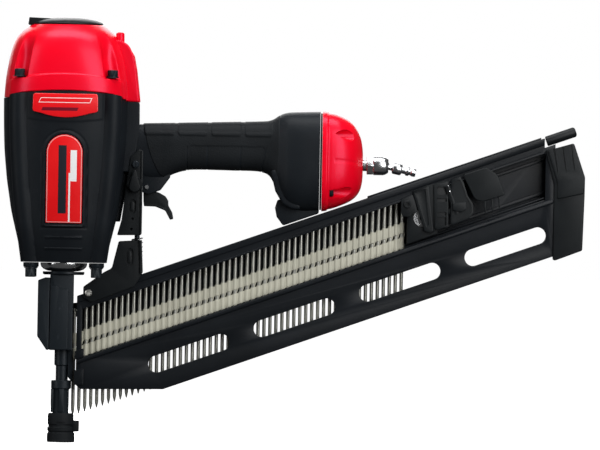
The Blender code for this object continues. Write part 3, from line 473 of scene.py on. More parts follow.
moulded = Finish("black_moulding", (0.005, 0.007, 0.009), 0.42, Specular_IOR_Level=0.14)
spark = moulded.noise(1100, 3.0, 0.6)
cloud = moulded.noise(35, 3.0)
moulded.set("Base Color", moulded.mix(cloud, rgb(0.004, 0.005, 0.006), rgb(0.010, 0.012, 0.013)))
moulded.set("Roughness", (cloud * 0.7 + spark * 0.3).spread(0.32, 0.52))
moulded.bump(spark, 0.25, 0.0002)
FINISHES["moulded"] = moulded

# %% [markdown]
# The nose and the bolts are phosphated steel, dark and slightly mottled. The air fitting and the ring under
# the barrel are bright plated steel with hairline polishing marks. Nails are plain wire with a zinc haze,
# and the strips that hold them are a pale moulded plastic.

# %% Steels, nails and strips
phosphate = Finish("dark_steel", (0.012, 0.015, 0.018), 0.45, 0.2, Specular_IOR_Level=0.2)
blotch = phosphate.noise(220, 5.0, 0.65)
wear = phosphate.noise(60, 4.0, 0.7).ramp(0.60, 0.74)
phosphate.set("Base Color", phosphate.mix(wear, rgb(0.010, 0.014, 0.018), rgb(0.030, 0.036, 0.044)))
phosphate.set("Roughness", blotch.spread(0.34, 0.55))
phosphate.bump(blotch, 0.15, 0.0002)
FINISHES["phosphate"] = phosphate

bright = Finish("bright_plate", (0.66, 0.67, 0.69), 0.2, 1.0)
hair = bright.noise(90, 5.0, 0.7, bright.stretched(1.0, 9.0, 9.0))
cloud = bright.noise(60, 3.0)
bright.set("Base Color", bright.mix(cloud, rgb(0.58, 0.59, 0.61), rgb(0.76, 0.77, 0.78)))
bright.set("Roughness", hair.spread(0.14, 0.32))
bright.bump(hair, 0.05, 0.0001)
FINISHES["bright"] = bright

wire = Finish("nail_wire", (0.52, 0.50, 0.46), 0.36, 0.85)
streak = wire.noise(70, 4.0, 0.6, wire.stretched(8.0, 8.0, 0.8))
cloud = wire.noise(45, 4.0)
wire.set("Base Color", wire.mix(cloud * 0.6 + streak * 0.4, rgb(0.22, 0.22, 0.20), rgb(0.42, 0.42, 0.38)))
wire.set("Roughness", streak.spread(0.28, 0.5))
wire.bump(streak, 0.1, 0.0002)
FINISHES["wire"] = wire

strip = Finish("collation_strip", (0.72, 0.66, 0.50), 0.5)
fleck = strip.noise(300, 3.0)
cloud = strip.noise(40, 3.0)
strip.set("Base Color", strip.mix(cloud, rgb(0.36, 0.35, 0.28), rgb(0.50, 0.49, 0.40)))
strip.set("Roughness", fleck.spread(0.4, 0.6))
strip.bump(fleck, 0.1, 0.0002)
FINISHES["strip"] = strip

zinc = Finish("zinc_screw", (0.55, 0.54, 0.50), 0.35, 1.0)
spangle = zinc.cells(600)
zinc.set("Base Color", zinc.mix(spangle, rgb(0.42, 0.42, 0.40), rgb(0.72, 0.71, 0.66)))
zinc.set("Roughness", spangle.spread(0.25, 0.45))
FINISHES["zinc"] = zinc

machined = Finish("machined_alloy", (0.62, 0.63, 0.64), 0.32, 1.0)
rings = machined.noise(80, 4.0, 0.6, machined.stretched(1.0, 1.0, 14.0))
machined.set("Base Color", machined.mix(rings, rgb(0.50, 0.51, 0.52), rgb(0.74, 0.75, 0.76)))
machined.set("Roughness", rings.spread(0.24, 0.42))
FINISHES["machined"] = machined

amber = Finish("amber_urethane", (0.5, 0.25, 0.05), 0.45)
haze = amber.noise(80, 3.0)
amber.set("Base Color", amber.mix(haze, rgb(0.42, 0.20, 0.04), rgb(0.58, 0.30, 0.07)))
amber.set("Roughness", haze.spread(0.38, 0.55))
FINISHES["amber"] = amber

seal = Finish("seal_rubber", (0.01, 0.01, 0.01), 0.7)
seal.set("Roughness", seal.noise(200, 3.0).spread(0.6, 0.8))
FINISHES["seal"] = seal

# %% [markdown]
# Every node of the engineering model gets a finish first, so that nothing is ever left bare. The cells below
# then replace the visible ones with finer pieces.

# %% Finishes on the engineering model
SLOT_FINISH = {
    "red_paint": "red", "black_casting": "cast", "black_rubber": "rubber", "black_anodised": "anodised",
    "black_plastic": "moulded", "dark_steel": "phosphate", "bright_steel": "bright", "zinc": "zinc",
    "aluminium": "machined", "amber_urethane": "amber",
}
for entry in frame["record"]["subparts"]:
    paint(frame["nodes"][entry["node"]], SLOT_FINISH[entry["material_slot"]])
for gasket in ("head_gasket", "end_cap_gasket"):
    paint(frame["nodes"][gasket], "seal")
paint(frame["nodes"]["nail_strip"], "wire")
print("finishes on", len(frame["nodes"]), "nodes")


def finished(piece, finish, body, nodes=(), angle=35):
    """Last steps of every new piece: smooth shading, finish, body, and hiding the model nodes it stands for."""
    smooth(piece, angle)
    paint(piece, finish)
    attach(piece, body)
    if nodes:
        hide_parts(*nodes)
    print(piece.name, len(piece.data.polygons), "faces")
    return piece


# %% [markdown]
# The barrel and the head share one plan shape: a squared round with a broad panel on each side and a bolt
# column in each corner. It is found by walking round the axis: along each direction the surface lies at the
# largest of the core, the four columns and the rear lobe, blended so that they meet in soft fillets.

# %% Plan shape of the barrel and head
COLUMN_SIDES = [(sx, sy) for sx in (-1, 1) for sy in (-1, 1)]


def blend_max(a, b, soft):
    """The larger of two lengths, rounded where they cross."""
    h = max(soft - abs(a - b), 0.0) / soft
    return max(a, b) + h * h * soft * 0.25


def core_reach(c, s, hx, hy, power):
    return (abs(c / hx) ** power + abs(s / hy) ** power) ** (-1 / power)


def circle_reach(c, s, cx, cy, radius):
    """How far a ray from the axis goes before it leaves a circle, or 0 if it misses."""
    along = c * cx + s * cy
    inside = radius * radius - (cx * cx + cy * cy - along * along)
    return along + math.sqrt(inside) if inside > 0 and along > 0 else 0.0


# Height, half width in X, half width in Y, column centre x, column centre y, column radius
BARREL_X = [
    (151, 34.5), (158, 36.2), (165, 38.0), (181.5, 42.0), (194, 44.9), (207, 47.0), (219, 48.9),
    (228, 49.9), (244, 51.4), (261, 52.2), (278, 52.6), (288, 52.7),
]
BARREL_Y = [
    (151, 32.5), (167, 37.9), (184, 41.6), (202.5, 43.5), (221, 45.4), (239.5, 47.3), (258, 49.2),
    (288, 50.4),
]
COLUMN_X = [(151, 27.5), (180, 31.5), (215, 35.5), (260, 38.4), (290, 38.9)]
COLUMN_Y = [(151, 21.5), (184, 30.0), (258, 36.6), (290, 37.5)]


def barrel_reach(c, s, z):
    hx, hy = place(z, BARREL_X), place(z, BARREL_Y)
    reach = core_reach(c, s, hx, hy, 2.55)
    for sx, sy in COLUMN_SIDES:
        column = circle_reach(c, s, sx * place(z, COLUMN_X), sy * place(z, COLUMN_Y), 8.2)
        reach = blend_max(reach, column, 3.5)
    return reach


# %% [markdown]
# The near and far faces of the barrel carry shallow relief: a sunk border round the label, two ribs and a
# ledge under it, and a raised shield behind the head badge. Each is a depth that depends only on the place on
# the face, and the shell's points are moved in or out by it.

# %% Relief on the barrel's faces
LABEL_HALF, LABEL_LOW, LABEL_HIGH = 15.1, 184.0, 258.0


def step_down(distance, width):
    """1 well inside an edge, 0 outside, eased over width."""
    t = min(max(0.5 - distance / width, 0.0), 1.0)
    return t * t * (3 - 2 * t)


def label_distance(x, z, grow=0.0):
    """Distance outside an arched label outline, negative inside."""
    half = LABEL_HALF + grow
    crown = LABEL_HIGH - LABEL_HALF
    if z > crown:
        return math.hypot(x, z - crown) - half
    return max(abs(x) - half, (LABEL_LOW - grow) - z)


def face_relief(x, z):
    """Height of the barrel face's relief in millimetres."""
    border = label_distance(x, z)
    relief = 0.9 * step_down(abs(border - 1.6) - 1.2, 0.9) - 1.1 * step_down(border - 0.1, 0.6)
    relief -= 0.5 * step_down(abs(border - 4.0) - 0.5, 0.9)
    for level in (181.2, 172.0, 162.5):
        inside = max(abs(z - level) - 0.7, abs(x) - 15.5)
        relief += 0.9 * step_down(inside, 0.9)
    shield = max(abs(x) - 31.5, 268.8 + 2.4 * min(1.0, (x / 31.0) ** 2) - z)
    relief += 0.4 * step_down(shield, 1.4)
    return relief


print("label recess depth", round(face_relief(0, 170), 2))

# %% [markdown]
# The joint between the black body and the red head isn't level: it arches up over each broad face and falls
# towards the corners. Both shells end on the same curve, so the gap between them stays even all round.

# %% Barrel shell and its gasket line
def seam_height(c, s):
    """Height of the joint between body and head in a direction round the axis."""
    face = max(abs(s) - 0.55, 0.0) / 0.45
    return 288.2 + 6.6 * face ** 0.6 - (1.2 if c > 0.9 else 0.0)


def barrel_point(u, v):
    a = 2 * math.pi * u
    c, s = math.cos(a), math.sin(a)
    z = 151.0 + (seam_height(c, s) - 151.0) * v
    reach = barrel_reach(c, s, min(z, 288.0))
    x, y = reach * c, reach * s
    front = min(max((abs(s) - 0.72) / 0.10, 0.0), 1.0)
    if front > 0:
        y += face_relief(x, z) * front * (1 if y > 0 else -1)
    return at(x, y, z)


barrel = wrapped("barrel_shell", 380, 170, barrel_point)
print("barrel", len(barrel.data.polygons), "faces")

# %% [markdown]
# The hollow handle is one more wrapped shell. Its rows are the stations of the casting from the barrel to the
# rear housing, read smoothly, and each row is a squared oval. The top line is nearly straight while the
# underside drops into the housing's foot.

# %% Handle shell
HANDLE = [
    (36, 226.0, 267.0, 12.5), (62, 221.5, 268.2, 13.5), (80, 221.5, 268.8, 15.0), (90, 227.0, 269.1, 16.6),
    (100, 230.2, 269.5, 17.2), (110, 231.0, 269.8, 17.5), (125, 231.0, 270.3, 17.7), (140, 230.8, 270.8, 17.8),
    (163, 230.3, 271.6, 18.0), (171, 227.4, 272.4, 18.8), (176, 219.0, 275.0, 20.6), (181, 205.5, 278.6, 23.6),
    (187, 199.4, 280.2, 27.2), (198, 197.2, 280.8, 30.0), (213.4, 197.6, 281.3, 31.0),
]
UNDER = [(x, low) for x, low, high, half in HANDLE]
ABOVE = [(x, high) for x, low, high, half in HANDLE]
ACROSS = [(x, half) for x, low, high, half in HANDLE]


def superoval(a, power):
    c, s = math.cos(a), math.sin(a)
    reach = (abs(c) ** power + abs(s) ** power) ** (-1 / power)
    return reach * c, reach * s


def handle_point(x, u, grow=0.0, power=3.0):
    low, high, half = place(x, UNDER) - grow, place(x, ABOVE) + grow, place(x, ACROSS) + grow
    y, z = superoval(2 * math.pi * u, power)
    return at(x, y * half, (low + high) / 2 + z * (high - low) / 2)


handle = wrapped("handle_shell", 96, 120, lambda u, v: handle_point(36 + (213.4 - 36) * v, u))
carve(
    handle,
    lathe("handle_void", [(0, -1), (11.5, -1), (11.5, 178), (0, 178)], (34.5, 0, 249), (1, 0, 0), 32),
)
print("handle", len(handle.data.polygons), "faces")

# %% [markdown]
# The barrel, the handle and the small bosses are one casting. They overlap, and joining them as one object
# keeps each surface clean, where a Boolean would leave a ragged line on such fine grids. The foot under the
# rear housing that the magazine hangs from, the trigger's ears and the ledge behind the head belong to it.

# %% Bosses of the casting
RAIL = 0.3573


def rail_z(x):
    """Top line of the magazine's side."""
    return 122.9 + RAIL * (x - 11.9)


ears = [
    plate(
        f"trigger_ear_{side}",
        rounded([(62, 233), (62, 212), (70, 209.5), (80, 213), (88, 224), (88, 233)], 3), y0, y1, 0.8,
    )
    for side, y0, y1 in (("near", -10, -7), ("far", 7, 10))
]
foot = plate(
    "magazine_foot",
    [
        (178.5, 207), (176.5, 200), (178, 192.5), (183.5, rail_z(183.5) + 1), (213.4, rail_z(213.4) + 1),
        (213.4, 207),
    ],
    -12, 12, 1.2,
)
ledge = plate(
    "rear_ledge",
    rounded([(38, 228, 1), (57, 228, 4), (61.5, 262, 4), (61.2, 286.8, 2), (38, 286.8, 1)], 4), -16, 16,
    5.5, 5,
)
web = plate(
    "guard_web",
    rounded(
        [
            (36, 186), (46.6, 186), (50.4, 208.5), (53.2, 229.5), (54.2, 240), (60, 248), (60, 262),
            (36, 262),
        ],
        1,
    ), -9, 9, 2.0, 3,
)
under_step = plate(
    "housing_sweep", rounded(
        [(172, 232), (176.5, 214), (183, 203), (190, 199.5), (198, 198.4), (198, 232)], 3,
    ), -20.5, 20.5, 3.0, 4,
)
casting = join(barrel, handle, *ears, foot, ledge, web, under_step, name="casting")
finished(casting, "cast", "tool", ("main_body", "head_gasket"), 40)

# %% [markdown]
# The red head stands on the same plan. It leans in a little as it rises, turns over in a soft shoulder and
# closes in a shallow dome. Two upright flutes on each side give the head bolts room, and a low step runs round
# it above the joint.

# %% Head shell
CAP_X = [
    (286, 52.5), (303, 51.3), (315, 49.6), (325, 47.6), (333, 45.4), (339.5, 42.4), (344, 38.6), (347.5, 34.2),
    (349.6, 31.2), (350.4, 29.6),
]
CAP_Y = [
    (286, 51.3), (303, 50.0), (315, 48.4), (325, 46.4), (333, 44.2), (339.5, 41.4), (344, 37.8), (347.5, 33.8),
    (349.6, 31.0), (350.4, 29.5),
]
FLUTE_AT = (40.6, 41.0)


def cap_reach(c, s, z):
    power = 2.9 - 0.8 * min(max((z - 300) / 50, 0.0), 1.0)
    reach = core_reach(c, s, place(z, CAP_X), place(z, CAP_Y), power)
    face = abs(s)
    step = 303.0 + 6.0 * max(face - 0.55, 0.0) / 0.45
    if face > 0.5:
        reach += 0.9 * step_down(z - step, 1.2) * min(1.0, (face - 0.5) / 0.1)
    if z > 305.2:
        depth = 0.0
        shrink = (place(z, CAP_X) / 51.3) ** 0.85
        for sx, sy in COLUMN_SIDES:
            fx, fy = sx * FLUTE_AT[0] * shrink, sy * FLUTE_AT[1] * shrink
            away = circle_reach(c, s, fx, fy, 8.8)
            if away:
                along = c * fx + s * fy
                near = 2 * along - away
                if near < reach:
                    depth = max(depth, reach - near)
        fade = 1.0 - min(max((z - 322) / 24, 0.0), 1.0) ** 1.4
        reach -= min(depth, 12.5) * fade * min((z - 305.2) / 0.5, 1.0)
    return reach


def cap_point(u, v):
    a = 2 * math.pi * u
    c, s = math.cos(a), math.sin(a)
    low = seam_height(c, s) + 0.5
    z = low + (350.4 - low) * (1 - (1 - v) ** 1.25)
    reach = cap_reach(c, s, z)
    return at(reach * c, reach * s, z)


cap = wrapped("head_shell", 400, 110, cap_point)
carve(cap, lathe("deflector_recess", [(0, 0), (27.6, 0), (27.6, 12), (0, 12)], (0, 0, 345.6)))
soften(cap, 0.5, 2, 50)
print("head", len(cap.data.polygons), "faces")

# %% [markdown]
# Behind the head stands a rounded lobe over the air way, with a small capped boss beside it. The lobe is an
# outline pushed to the lobe's width with a generous round on its edges.

# %% Rear lobe and boss
lobe = plate(
    "rear_lobe",
    rounded(
        [
            (30, 288.0), (61.4, 286.4), (60.2, 296), (58.2, 313), (55.8, 326), (51.5, 334.5, 9),
            (45, 338, 8), (30, 339),
        ],
        2, 6,
    ),
    -16.5, 16.5, 6.0, 6,
)
rib = plate(
    "rear_rib",
    rounded(
        [(40, 290.0), (62.0, 286.0), (60.9, 296), (58.9, 313), (56.6, 325), (53, 331.5, 7), (40, 331.5)],
        1.5, 6,
    ),
    -5.5, 5.5, 2.0, 4,
)
boss = lathe(
    "vent_boss", [(0, 0), (3.6, 0), (3.6, 15), (3.2, 16.2), (2.2, 16.8), (0, 16.8)], (44.2, -10, 328),
    steps=28,
)
head = join(cap, lobe, rib, boss, name="head")
finished(head, "red", "tool", ("head_cap",), 40)

# %% [markdown]
# The label and the badge are printed plates. Their rims and bars are bands of distance worked out in the
# shader from the plate's own outline, so the print stays sharp at any size, and they hold no lettering: a plain
# dark bar and a plain white bar on the label, and an empty slanted frame with a dark bar on the badge.

# %% Printed finishes
def band(distance, low, high):
    """1 where a distance lies between low and high, with a soft edge of a tenth of a millimetre."""
    return distance.ramp(low - 5e-5, low + 5e-5) * (1 - distance.ramp(high - 5e-5, high + 5e-5))


def bar(finish, x, z, low, high):
    """1 inside an upright rectangle given by its low and high corners in millimetres from the axis."""
    return band(x, AXIS_X + low[0] * MM, AXIS_X + high[0] * MM) * band(z, low[1] * MM, high[1] * MM)


label_print = Finish("label_print", (0.78, 0.004, 0.006), 0.32, Coat_Weight=0.4, Coat_Roughness=0.15)
px, pz = label_print.axis("X"), label_print.axis("Z")
off_x = label_print.sum("ABSOLUTE", px - AXIS_X)
above = label_print.sum("MAXIMUM", pz - (LABEL_HIGH - LABEL_HALF) * MM, 0.0)
round_edge = label_print.sum("SQRT", off_x * off_x + above * above) - LABEL_HALF * MM
inside = label_print.sum("MAXIMUM", round_edge, LABEL_LOW * MM - pz)
rim = band(inside, -0.0011, -0.0006)
white = bar(label_print, px, pz, (3.7, 185.0), (5.1, 226.0))
white = label_print.sum("MAXIMUM", white, bar(label_print, px, pz, (5.1, 219.0), (10.4, 245.0)))
dark = bar(label_print, px, pz, (-5.0, 192.0), (1.8, 249.0))
cloud = label_print.noise(50, 2.0)
tint = label_print.mix(cloud, rgb(0.74, 0.0, 0.003), rgb(0.86, 0.006, 0.008))
tint = label_print.mix(rim, tint, rgb(0.75, 0.42, 0.40))
tint = label_print.mix(dark, tint, rgb(0.012, 0.013, 0.02))
label_print.set("Base Color", label_print.mix(white, tint, rgb(0.85, 0.85, 0.85)))
label_print.set("Roughness", cloud.spread(0.28, 0.38))
FINISHES["label"] = label_print

badge_print = Finish("badge_print", (0.75, 0.004, 0.01), 0.3, Coat_Weight=0.5, Coat_Roughness=0.12)
px, pz = badge_print.axis("X"), badge_print.axis("Z")
slant = px - AXIS_X - (pz - 0.2865) * 0.45
reach_x = badge_print.sum("ABSOLUTE", slant) - 0.0215
reach_z = badge_print.sum("ABSOLUTE", pz - 0.2866) - 0.0021
frame_line = band(badge_print.sum("MAXIMUM", reach_x, reach_z), -0.0005, 0.0)
dark_bar = band(badge_print.sum("ABSOLUTE", slant + 0.0012), -1.0, 0.0150) * band(pz, 0.2778, 0.2806)
cloud = badge_print.noise(50, 2.0)
tint = badge_print.mix(cloud, rgb(0.72, 0.0, 0.004), rgb(0.84, 0.006, 0.012))
tint = badge_print.mix(dark_bar, tint, rgb(0.16, 0.0, 0.012))
badge_print.set("Base Color", badge_print.mix(frame_line, tint, rgb(0.85, 0.80, 0.80)))
badge_print.set("Roughness", cloud.spread(0.26, 0.34))
FINISHES["badge"] = badge_print

# %% [markdown]
# The label is an arched plate that leans with the barrel's face, and the badge a plate with a straight top and
# a curved foot, held in a pale rim. Both start as outlines and are pushed to their thickness.

# %% Label and badge
FACE_LEAN = (place(LABEL_HIGH, BARREL_Y) - place(LABEL_LOW, BARREL_Y)) / (LABEL_HIGH - LABEL_LOW)


def lean_with_face(piece, pivot):
    """Tilts a plate so that it follows the barrel's face as it rises."""
    for vertex in piece.data.vertices:
        vertex.co.y -= (vertex.co.z - pivot * MM) * FACE_LEAN
    return piece


crown = LABEL_HIGH - LABEL_HALF
arch_outline = [(-LABEL_HALF, LABEL_LOW), (LABEL_HALF, LABEL_LOW)] + [
    (
        LABEL_HALF * math.cos(math.pi * k / 32), crown + LABEL_HALF * math.sin(math.pi * k / 32),
    ) for k in range(33)
]
label = lean_with_face(plate("label_plate", arch_outline, -42.6, -38.5, 0.5, 3), LABEL_LOW)
finished(label, "label", "tool", ("body_label",))

badge_outline = rounded(
    [(-27.0, 292.2, 2.5), (-27.4, 277.2, 2.5)] + [
        (-20 + 5 * k, 272.3 + 0.0085 * (-20 + 5 * k) ** 2, 0)
        for k in range(9)
    ]
    + [(27.4, 277.2, 2.5), (27.0, 292.2, 2.5)], 2.5,
)
badge = plate("head_badge_plate", badge_outline, -51.6, -47.5, 0.5, 3)
finished(badge, "badge", "tool", ("head_badge",))

# %% [markdown]
# The grip is a rubber sleeve moulded over the handle. Its front edge sweeps forward as it rises and its rear
# edge follows the housing. Four pads are raised along the top of each side, and below them upright grooves
# divide the palm area. The relief is one function of the place along the grip and round it.

# %% Grip sleeve
GRIP_NOSE = [(226.0, 87.6), (228.4, 85.4), (236.4, 77.4), (247.6, 70.9), (259.8, 66.6), (271.0, 64.6)]
GRIP_TAIL = [(222.0, 174.8), (236.0, 178.6), (250.0, 179.8), (272.0, 180.0)]
PADS = [(64.0, 91.2), (94.4, 118.8), (122.5, 146.9), (150.6, 172.9)]


def box_distance(x, z, low, high, corner):
    """Distance outside a rounded rectangle, negative inside."""
    dx = abs(x - (low[0] + high[0]) / 2) - (high[0] - low[0]) / 2 + corner
    dz = abs(z - (low[1] + high[1]) / 2) - (high[1] - low[1]) / 2 + corner
    return math.hypot(max(dx, 0), max(dz, 0)) + min(max(dx, dz), 0) - corner


def grip_relief(x, z, middle):
    relief = 0.0
    if z > middle:
        for x0, x1 in PADS:
            away = box_distance(x, z, (x0, 259.2), (x1, 300.0), 2.0)
            relief = max(relief, 0.8 * step_down(away, 0.8))
    if z < 251.0:
        tail = 164.2 + (z - 228.0) * 0.2
        for line in (102.0, 118.8, 146.9, tail):
            relief -= 0.8 * step_down(abs(x - line) - 0.45, 0.7) * min(1.0, (251.0 - z) / 2)
        inner = box_distance(x, z, (103.0, 200.0), (tail - 1.0, 251.0), 3.0)
        relief -= 0.35 * step_down(inner, 0.8)
    return relief


def grip_point(u, v):
    a = 2 * math.pi * u
    y, z = superoval(a, 3.0)
    low, high = 229.5 + 1.0, 270.0
    height = (low + high) / 2 + z * (high - low) / 2
    x = place(height, GRIP_NOSE) * (1 - v) + place(height, GRIP_TAIL) * v
    low, high, half = place(x, UNDER), place(x, ABOVE), place(x, ACROSS)
    height = (low + high) / 2 + z * (high - low) / 2
    edge = min(1.0, min(v, 1 - v) / 0.012)
    swell = 0.5 * edge - 0.6 * (1 - edge) + grip_relief(x, height, 250.0)
    if height > 262.0:
        swell = min(swell, 0.9)
    return at(x, y * (half + swell), (low + high) / 2 + z * ((high - low) / 2 + min(swell, 0.8)))


grip = wrapped("grip_rubber", 200, 260, grip_point, close=False)
wall = grip.modifiers.new("wall", "SOLIDIFY")
wall.thickness = 1.6 * MM
wall.offset = -1
apply_all(grip)
finished(grip, "rubber", "tool", ("grip_sleeve",), 60)

# %% [markdown]
# The exhaust deflector is a low round cap that turns on one screw and blows the used air forward through a
# boxed outlet. It is a lathe profile with the outlet box welded on and louvres cut into its mouth.

# %% Exhaust deflector
deflector = lathe(
    "deflector_cap",
    [
        (0, 346.3), (26.9, 346.3), (26.9, 350.9), (29.5, 350.9), (29.5, 351.7), (28.6, 352.6),
        (24.0, 354.3), (16.0, 355.7), (9.0, 356.2), (7.2, 356.2), (6.8, 352.1), (0, 352.1),
    ],
    (0, 0, 0), steps=72,
)
outlet = plate(
    "deflector_outlet", rounded(
        [(-33.2, 350.0), (-32.4, 356.3), (-13.0, 355.6), (-6, 353), (-6, 350.0)], 0.6, 2,
    ), -10.4, 10.4, 0.7, 3
)
weld(deflector, outlet)
for level in (351.6, 353.6):
    carve(
        deflector,
        plate("louvre", [(-35, level), (-35, level + 1.1), (-25, level + 1.1), (-25, level)], -8.6, 8.6),
    )
soften(deflector, 0.25, 2, 45)
finished(deflector, "moulded", "deflector", ("exhaust_deflector",))

# %% [markdown]
# All the socket screws are alike: a knurled round head with a hexagon socket over a spring washer. One is
# turned and cut, and each place gets its own copy, so every copy has its own mesh.

# %% Socket screws
def socket_screw(name, foot, radius, height, washer=True, down=False, axis=None):
    """A socket-head screw standing on foot, head along +Z or along the axis given."""
    direction = axis or ((0, 0, -1) if down else (0, 0, 1))
    base = 1.5 if washer else 0.0
    profile = [
        (0, base), (radius - 0.2, base), (radius, base + 0.3), (radius, base + height - 0.5),
        (radius - 0.5, base + height), (0, base + height),
    ]
    head = lathe(name, profile, (0, 0, 0), steps=64)
    origin = at(0, 0, 0)
    for vertex in head.data.vertices:
        away = Vector((vertex.co.x - origin.x, vertex.co.y - origin.y))
        if away.length > (radius - 0.1) * MM:
            k = round(math.atan2(away.y, away.x) / (2 * math.pi) * 64)
            if k % 2:
                vertex.co.x = origin.x + away.x * 0.955
                vertex.co.y = origin.y + away.y * 0.955
    socket = lathe(
        "socket",
        [
            (0, base + height - radius * 0.62), (radius * 0.55, base + height - radius * 0.55),
            (radius * 0.55, base + height + 1), (0, base + height + 1),
        ],
        (0, 0, 0), steps=6,
    )
    carve(head, socket)
    if washer:
        ring = lathe(
            "washer",
            [
                (radius * 0.5, 0), (radius + 1.0, 0), (radius + 1.1, 0.15), (radius + 1.1, 0.6),
                (radius + 0.95, 0.75), (radius * 0.5, 0.75),
            ],
            (0, 0, 0), steps=40,
        )
        split = lathe(
            "spring_washer",
            [(radius * 0.5, 0.85), (radius + 0.35, 0.85), (radius + 0.35, 1.45), (radius * 0.5, 1.45)],
            (0, 0, 0), steps=40,
        )
        head = join(head, ring, split)
    turn = Vector(direction).to_track_quat("Z", "Y").to_matrix().to_4x4()
    head.data.transform(Matrix.Translation(-origin))
    head.data.transform(Matrix.Translation(at(*foot)) @ turn)
    return head


for end, sx in (("front", -1), ("rear", 1)):
    for side, sy in (("near", -1), ("far", 1)):
        screw = socket_screw(f"head_screw_{end}_{side}", (sx * 38.9, sy * 37.5, 305.9), 4.3, 5.2)
        finished(screw, "phosphate", "tool", (f"head_bolt_{end}_{side}",))
        screw = socket_screw(f"nose_screw_{end}_{side}", (sx * 27.5, sy * 21.0, 146.8), 4.3, 6.9, down=True)
        finished(screw, "phosphate", "tool", (f"nose_bolt_{end}_{side}",))
screw = socket_screw("deflector_centre_screw", (0, 0, 352.2), 4.6, 3.0, washer=False)
finished(screw, "phosphate", "tool", ("deflector_screw",))

# %% [markdown]
# A glossy red cap closes the rear housing. Its flange stands a little proud of the dome, which rounds in
# towards the air inlet, and four screws hold it in wells. It is wrapped like the other shells, about X.

# %% End cap
END = [
    (215.4, 198.0, 281.4, 31.2), (219.6, 198.6, 281.2, 31.3), (220.4, 199.4, 280.7, 30.6), (224, 200.2, 280.2, 30.4),
    (229, 202.0, 278.8, 29.8), (235, 204.4, 276.0, 28.0), (240.5, 207.4, 271.8, 24.6), (245, 211.6, 265.4, 19.2),
    (248, 217.2, 258.0, 13.4), (249.3, 223.5, 250.5, 9.6), (249.6, 228, 246, 7.0),
]


def end_point(u, v):
    x = 215.4 + (249.6 - 215.4) * (1 - (1 - v) ** 1.35)
    low, high, half = (place(x, [(row[0], row[k]) for row in END]) for k in (1, 2, 3))
    power = 3.2 - 1.1 * max(0.0, (x - 230) / 20)
    y, z = superoval(2 * math.pi * u, power)
    proud = 0.7 * step_down(x - 220.3, 0.8)
    seam_line = -0.5 * step_down(abs(z) - 0.012, 0.02) if x > 226 else 0.0
    return at(x, y * (half + proud + seam_line), (low + high) / 2 + z * ((high - low) / 2 + proud * 0.4))


end_shell = wrapped("end_cap_shell", 160, 70, end_point)
for sy in (-24.0, 24.0):
    for z in (262.0, 214.0):
        carve(
            end_shell,
            lathe("screw_well", [(0, 0), (4.6, 0), (4.6, 40), (0, 40)], (221.9, sy, z), (1, 0, 0), 32),
        )
carve(end_shell, lathe("inlet", [(0, 0), (5.3, 0), (5.3, 30), (0, 30)], (230, 0, 236.9), (1, 0, 0), 32))
soften(end_shell, 0.4, 2, 50)
finished(end_shell, "red", "tool", ("end_cap",), 40)
for side, sy in (("near", -24.0), ("far", 24.0)):
    for level, z in (("top", 262.0), ("low", 214.0)):
        screw = socket_screw(
            f"end_screw_{side}_{level}", (222.0, sy, z), 3.7, 3.4, washer=False, axis=(1, 0, 0),
        )
        finished(screw, "phosphate", "tool", (f"end_cap_screw_{side}_{level}",))

# %% [markdown]
# The air fitting is bright plated steel: a hexagon with a turned collar, and a plug that swivels in it on a
# ball and hangs a little below level. All of it is lathe work, with six steps for the hexagon.

# %% Air fitting
swivel = lathe(
    "swivel_collar",
    [
        (0, 258.5), (7.6, 258.5), (7.9, 259.0), (7.9, 266.6), (7.4, 268.4), (6.3, 270.4), (5.3, 271.1),
        (5.3, 270.3), (6.1, 269.2), (6.1, 261.5), (0, 260.5),
    ],
    (0, 0, 236.9), (1, 0, 0), 64,
)
hexagon = lathe(
    "swivel_hexagon", [(0, 252.9), (8.6, 252.9), (8.6, 258.4), (0, 258.4)], (0, 0, 236.9), (1, 0, 0), 6,
)
soften(hexagon, 0.5, 3, 25)
neck = lathe(
    "swivel_neck",
    [
        (0, 244.6), (4.7, 244.6), (4.7, 248.6), (4.3, 249), (4.3, 249.5), (4.7, 250), (4.7, 253.2),
        (0, 253.2),
    ],
    (0, 0, 236.9), (1, 0, 0), 40,
)
swivel = join(swivel, hexagon, neck, name="swivel_fitting")
finished(swivel, "bright", "swivel_unit", ("swivel_body",))
ball = [
    (5.55 * math.cos(a), 5.55 * math.sin(a))
    for a in [-math.pi / 2 + math.pi * k / 20 for k in range(18)]
]
ball[0] = (0, -5.55)
tilt = math.radians(11.3)
plug = lathe(
    "air_plug_turned",
    ball + [
        (2.4, 5.4), (2.4, 7.9), (4.3, 8.6), (4.8, 9.4), (4.8, 15.2), (4.4, 15.8), (2.9, 16.5), (2.9, 19.3),
        (3.9, 20.2), (3.9, 21.9), (2.9, 22.8), (2.9, 24.0), (3.5, 24.8), (3.5, 27.2), (3.1, 28.2),
        (1.5, 28.2), (1.5, 14.0), (0, 14.0),
    ],
    (266.5, 0, 236.9), (math.cos(tilt), 0, -math.sin(tilt)), 48,
)
finished(plug, "bright", "plug_unit", ("swivel_plug",))

# %% [markdown]
# The magazine is a folded black extrusion: two walls under a roof, a long window in the near wall over the
# heads and bands of the nails, and four rounded slots through both walls. The edges of the window carry
# rounded beads, which catch the light as fine bright lines. Each wall is an outline pushed to its thickness.

# %% Magazine walls
def floor_z(x):
    """Bottom line of the magazine."""
    return 46.1 + 0.3609 * (x - 85.3)


